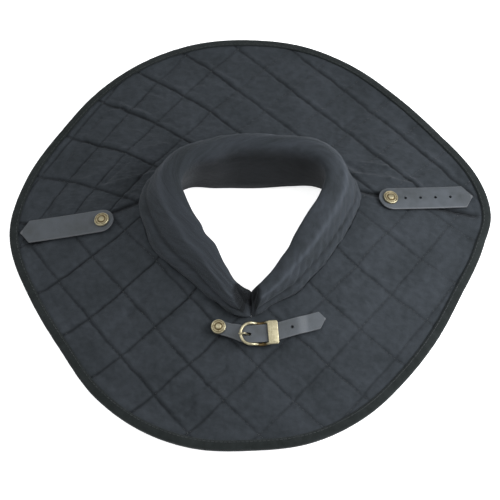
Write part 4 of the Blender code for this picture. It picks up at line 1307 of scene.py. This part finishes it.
def leather_material():
    """Black leather gone grey: fine grain, creases, and pale edges that are partly burnished wear
    and partly painted highlight.
    """
    made = Material("strap_leather", Roughness=0.5, Coat_Weight=0.12, Coat_Roughness=0.35)
    uv = made.add("TexCoord").outputs["UV"]
    grain = made.add("TexVoronoi", {"feature": "SMOOTH_F1"}, Vector=uv, Scale=1100.0, Smoothness=0.7)
    scuffs = made.noise(uv, 90.0, 5.0)
    patches = made.noise(uv, 30.0, 3.0)
    colour = made.mix(patches, linear(50, 54, 56), linear(64, 69, 74))
    colour = made.tint(colour, scuffs, 0.45, linear(82, 86, 93))
    # pale edges: partly burnished wear, partly painted highlight
    colour = made.tint(colour, made.weight("edge"), 0.5, linear(104, 105, 108))
    rough = made.add("MapRange", Value=scuffs, To_Min=0.50, To_Max=0.68)
    fine = made.bump(grain.outputs["Distance"], 0.00022, 0.5)
    made.fill(made.shader, {
        "Base_Color": colour, "Roughness": rough.outputs[0],
        "Normal": made.bump(scuffs, 0.0002, 0.3, fine),
    })
    return made.data


def brass_material():
    """Antique brass: bright where it is rubbed, brown in its recesses."""
    made = Material("antique_brass", Metallic=1.0, Roughness=0.35)
    place = made.add("TexCoord").outputs["Object"]
    patina = made.noise(place, 420.0, 4.0)
    specks = made.noise(place, 1500.0, 3.0, 0.5, 0.7)
    dark = made.math("ADD", made.weight("recess"), made.math("MULTIPLY", patina, 0.30))
    colour = made.mix(dark, linear(196, 188, 158), linear(98, 82, 54))
    colour = made.tint(colour, specks, 0.4, linear(118, 100, 68))
    rough = made.add("MapRange", Value=dark, To_Min=0.42, To_Max=0.65)
    made.fill(made.shader, {
        "Base_Color": colour, "Roughness": rough.outputs[0],
        "Normal": made.bump(patina, 0.0001, 0.25),
    })
    return made.data


def thread_material():
    """Dark sewing thread with its twist."""
    made = Material("thread", Roughness=0.7, Sheen_Weight=0.2)
    place = made.add("TexCoord").outputs["Object"]
    twist = made.noise(place, 2500.0, 2.0)
    made.fill(made.shader, {
        "Base_Color": made.mix(twist, linear(24, 27, 29), linear(46, 50, 54)),
        "Normal": made.bump(twist, 0.0001, 0.5),
    })
    return made.data


def floor_material():
    """Pale seamless floor with a faint paper tooth."""
    made = Material("floor", Roughness=0.95, Emission_Color=(1, 1, 1, 1), Emission_Strength=0.75)
    place = made.add("TexCoord").outputs["Object"]
    tooth = made.noise(place, 300.0, 3.0)
    made.fill(made.shader, {
        "Base_Color": made.mix(tooth, (0.93, 0.93, 0.93, 1), (0.96, 0.96, 0.96, 1)),
    })
    return made.data


def make_floor():
    corners = [(x * FLOOR_HALF, y * FLOOR_HALF, 0) for x, y in ((-1, -1), (1, -1), (1, 1), (-1, 1))]
    mesh = build_mesh("floor", corners, [(0, 1, 2, 3)])
    mesh.materials.append(floor_material())
    floor = add_object("floor", mesh)
    floor.location.z = -FLOOR_DROP


def look_at(thing, target):
    thing.rotation_mode = "QUATERNION"
    thing.rotation_quaternion = (Vector(target) - thing.location).to_track_quat("-Z", "Y")


def make_camera():
    data = bpy.data.cameras.new("camera")
    data.lens = CAMERA_LENS
    data.sensor_width = SENSOR
    camera = add_object("camera", data)
    rise = math.radians(CAMERA_ELEVATION)
    back = Vector((0, -math.cos(rise), math.sin(rise))) * CAMERA_DISTANCE
    camera.location = Vector(CAMERA_AIM) + back
    look_at(camera, CAMERA_AIM)
    bpy.context.scene.camera = camera


def make_lights():
    for row in LIGHT_ROWS:
        data = bpy.data.lights.new(row.name, "AREA")
        data.size = row.size
        data.energy = row.power
        data.color = row.colour
        light = add_object(row.name, data)
        light.location = row.place
        look_at(light, (0, 0, 0))
    world = bpy.data.worlds.new("studio")
    world.use_nodes = True
    background = world.node_tree.nodes["Background"]
    background.inputs["Color"].default_value = (0.97, 0.98, 1.0, 1)
    background.inputs["Strength"].default_value = WORLD_STRENGTH
    bpy.context.scene.world = world
    bpy.context.scene.view_settings.view_transform = "Standard"


def dress():
    """Build every piece of the collar round the frame."""
    # the third colour of each cloth is its painted shade
    canvas = cloth_material(
        "quilted_canvas", linear(40, 44, 47), linear(57, 61, 66), linear(16, 18, 20), 0.0011)
    band_canvas = cloth_material(
        "band_canvas", linear(41, 45, 47), linear(59, 63, 69), linear(10, 11, 12), 0.0011, 1.5)
    tape = cloth_material(
        "binding_tape", linear(27, 31, 30), linear(42, 46, 46), linear(14, 16, 16), 0.0007)
    leather = leather_material()
    brass = brass_material()
    thread = thread_material()
    for name, start, end, quilt in (
        ("front_panel", SHOULDER_LEFT, SHOULDER_RIGHT, FRONT_QUILT),
        ("back_panel", SHOULDER_RIGHT, SHOULDER_LEFT, BACK_QUILT),
    ):
        make_panel(name, start, end, quilt, canvas)
        quilt_stitches(start, end, quilt, name + "_stitches", thread)
    make_band(band_canvas)
    make_binding(tape)
    binding_stitches(thread)
    for row in STRAP_ROWS:
        side_strap(row, leather, brass)
    seat = front_seat()
    front_strap(seat, leather, brass)
    buckle_frame(seat, brass)
    buckle_prong(seat, brass)
    buckle_tab(seat, leather)


make_camera()
make_lights()
make_floor()
dress()
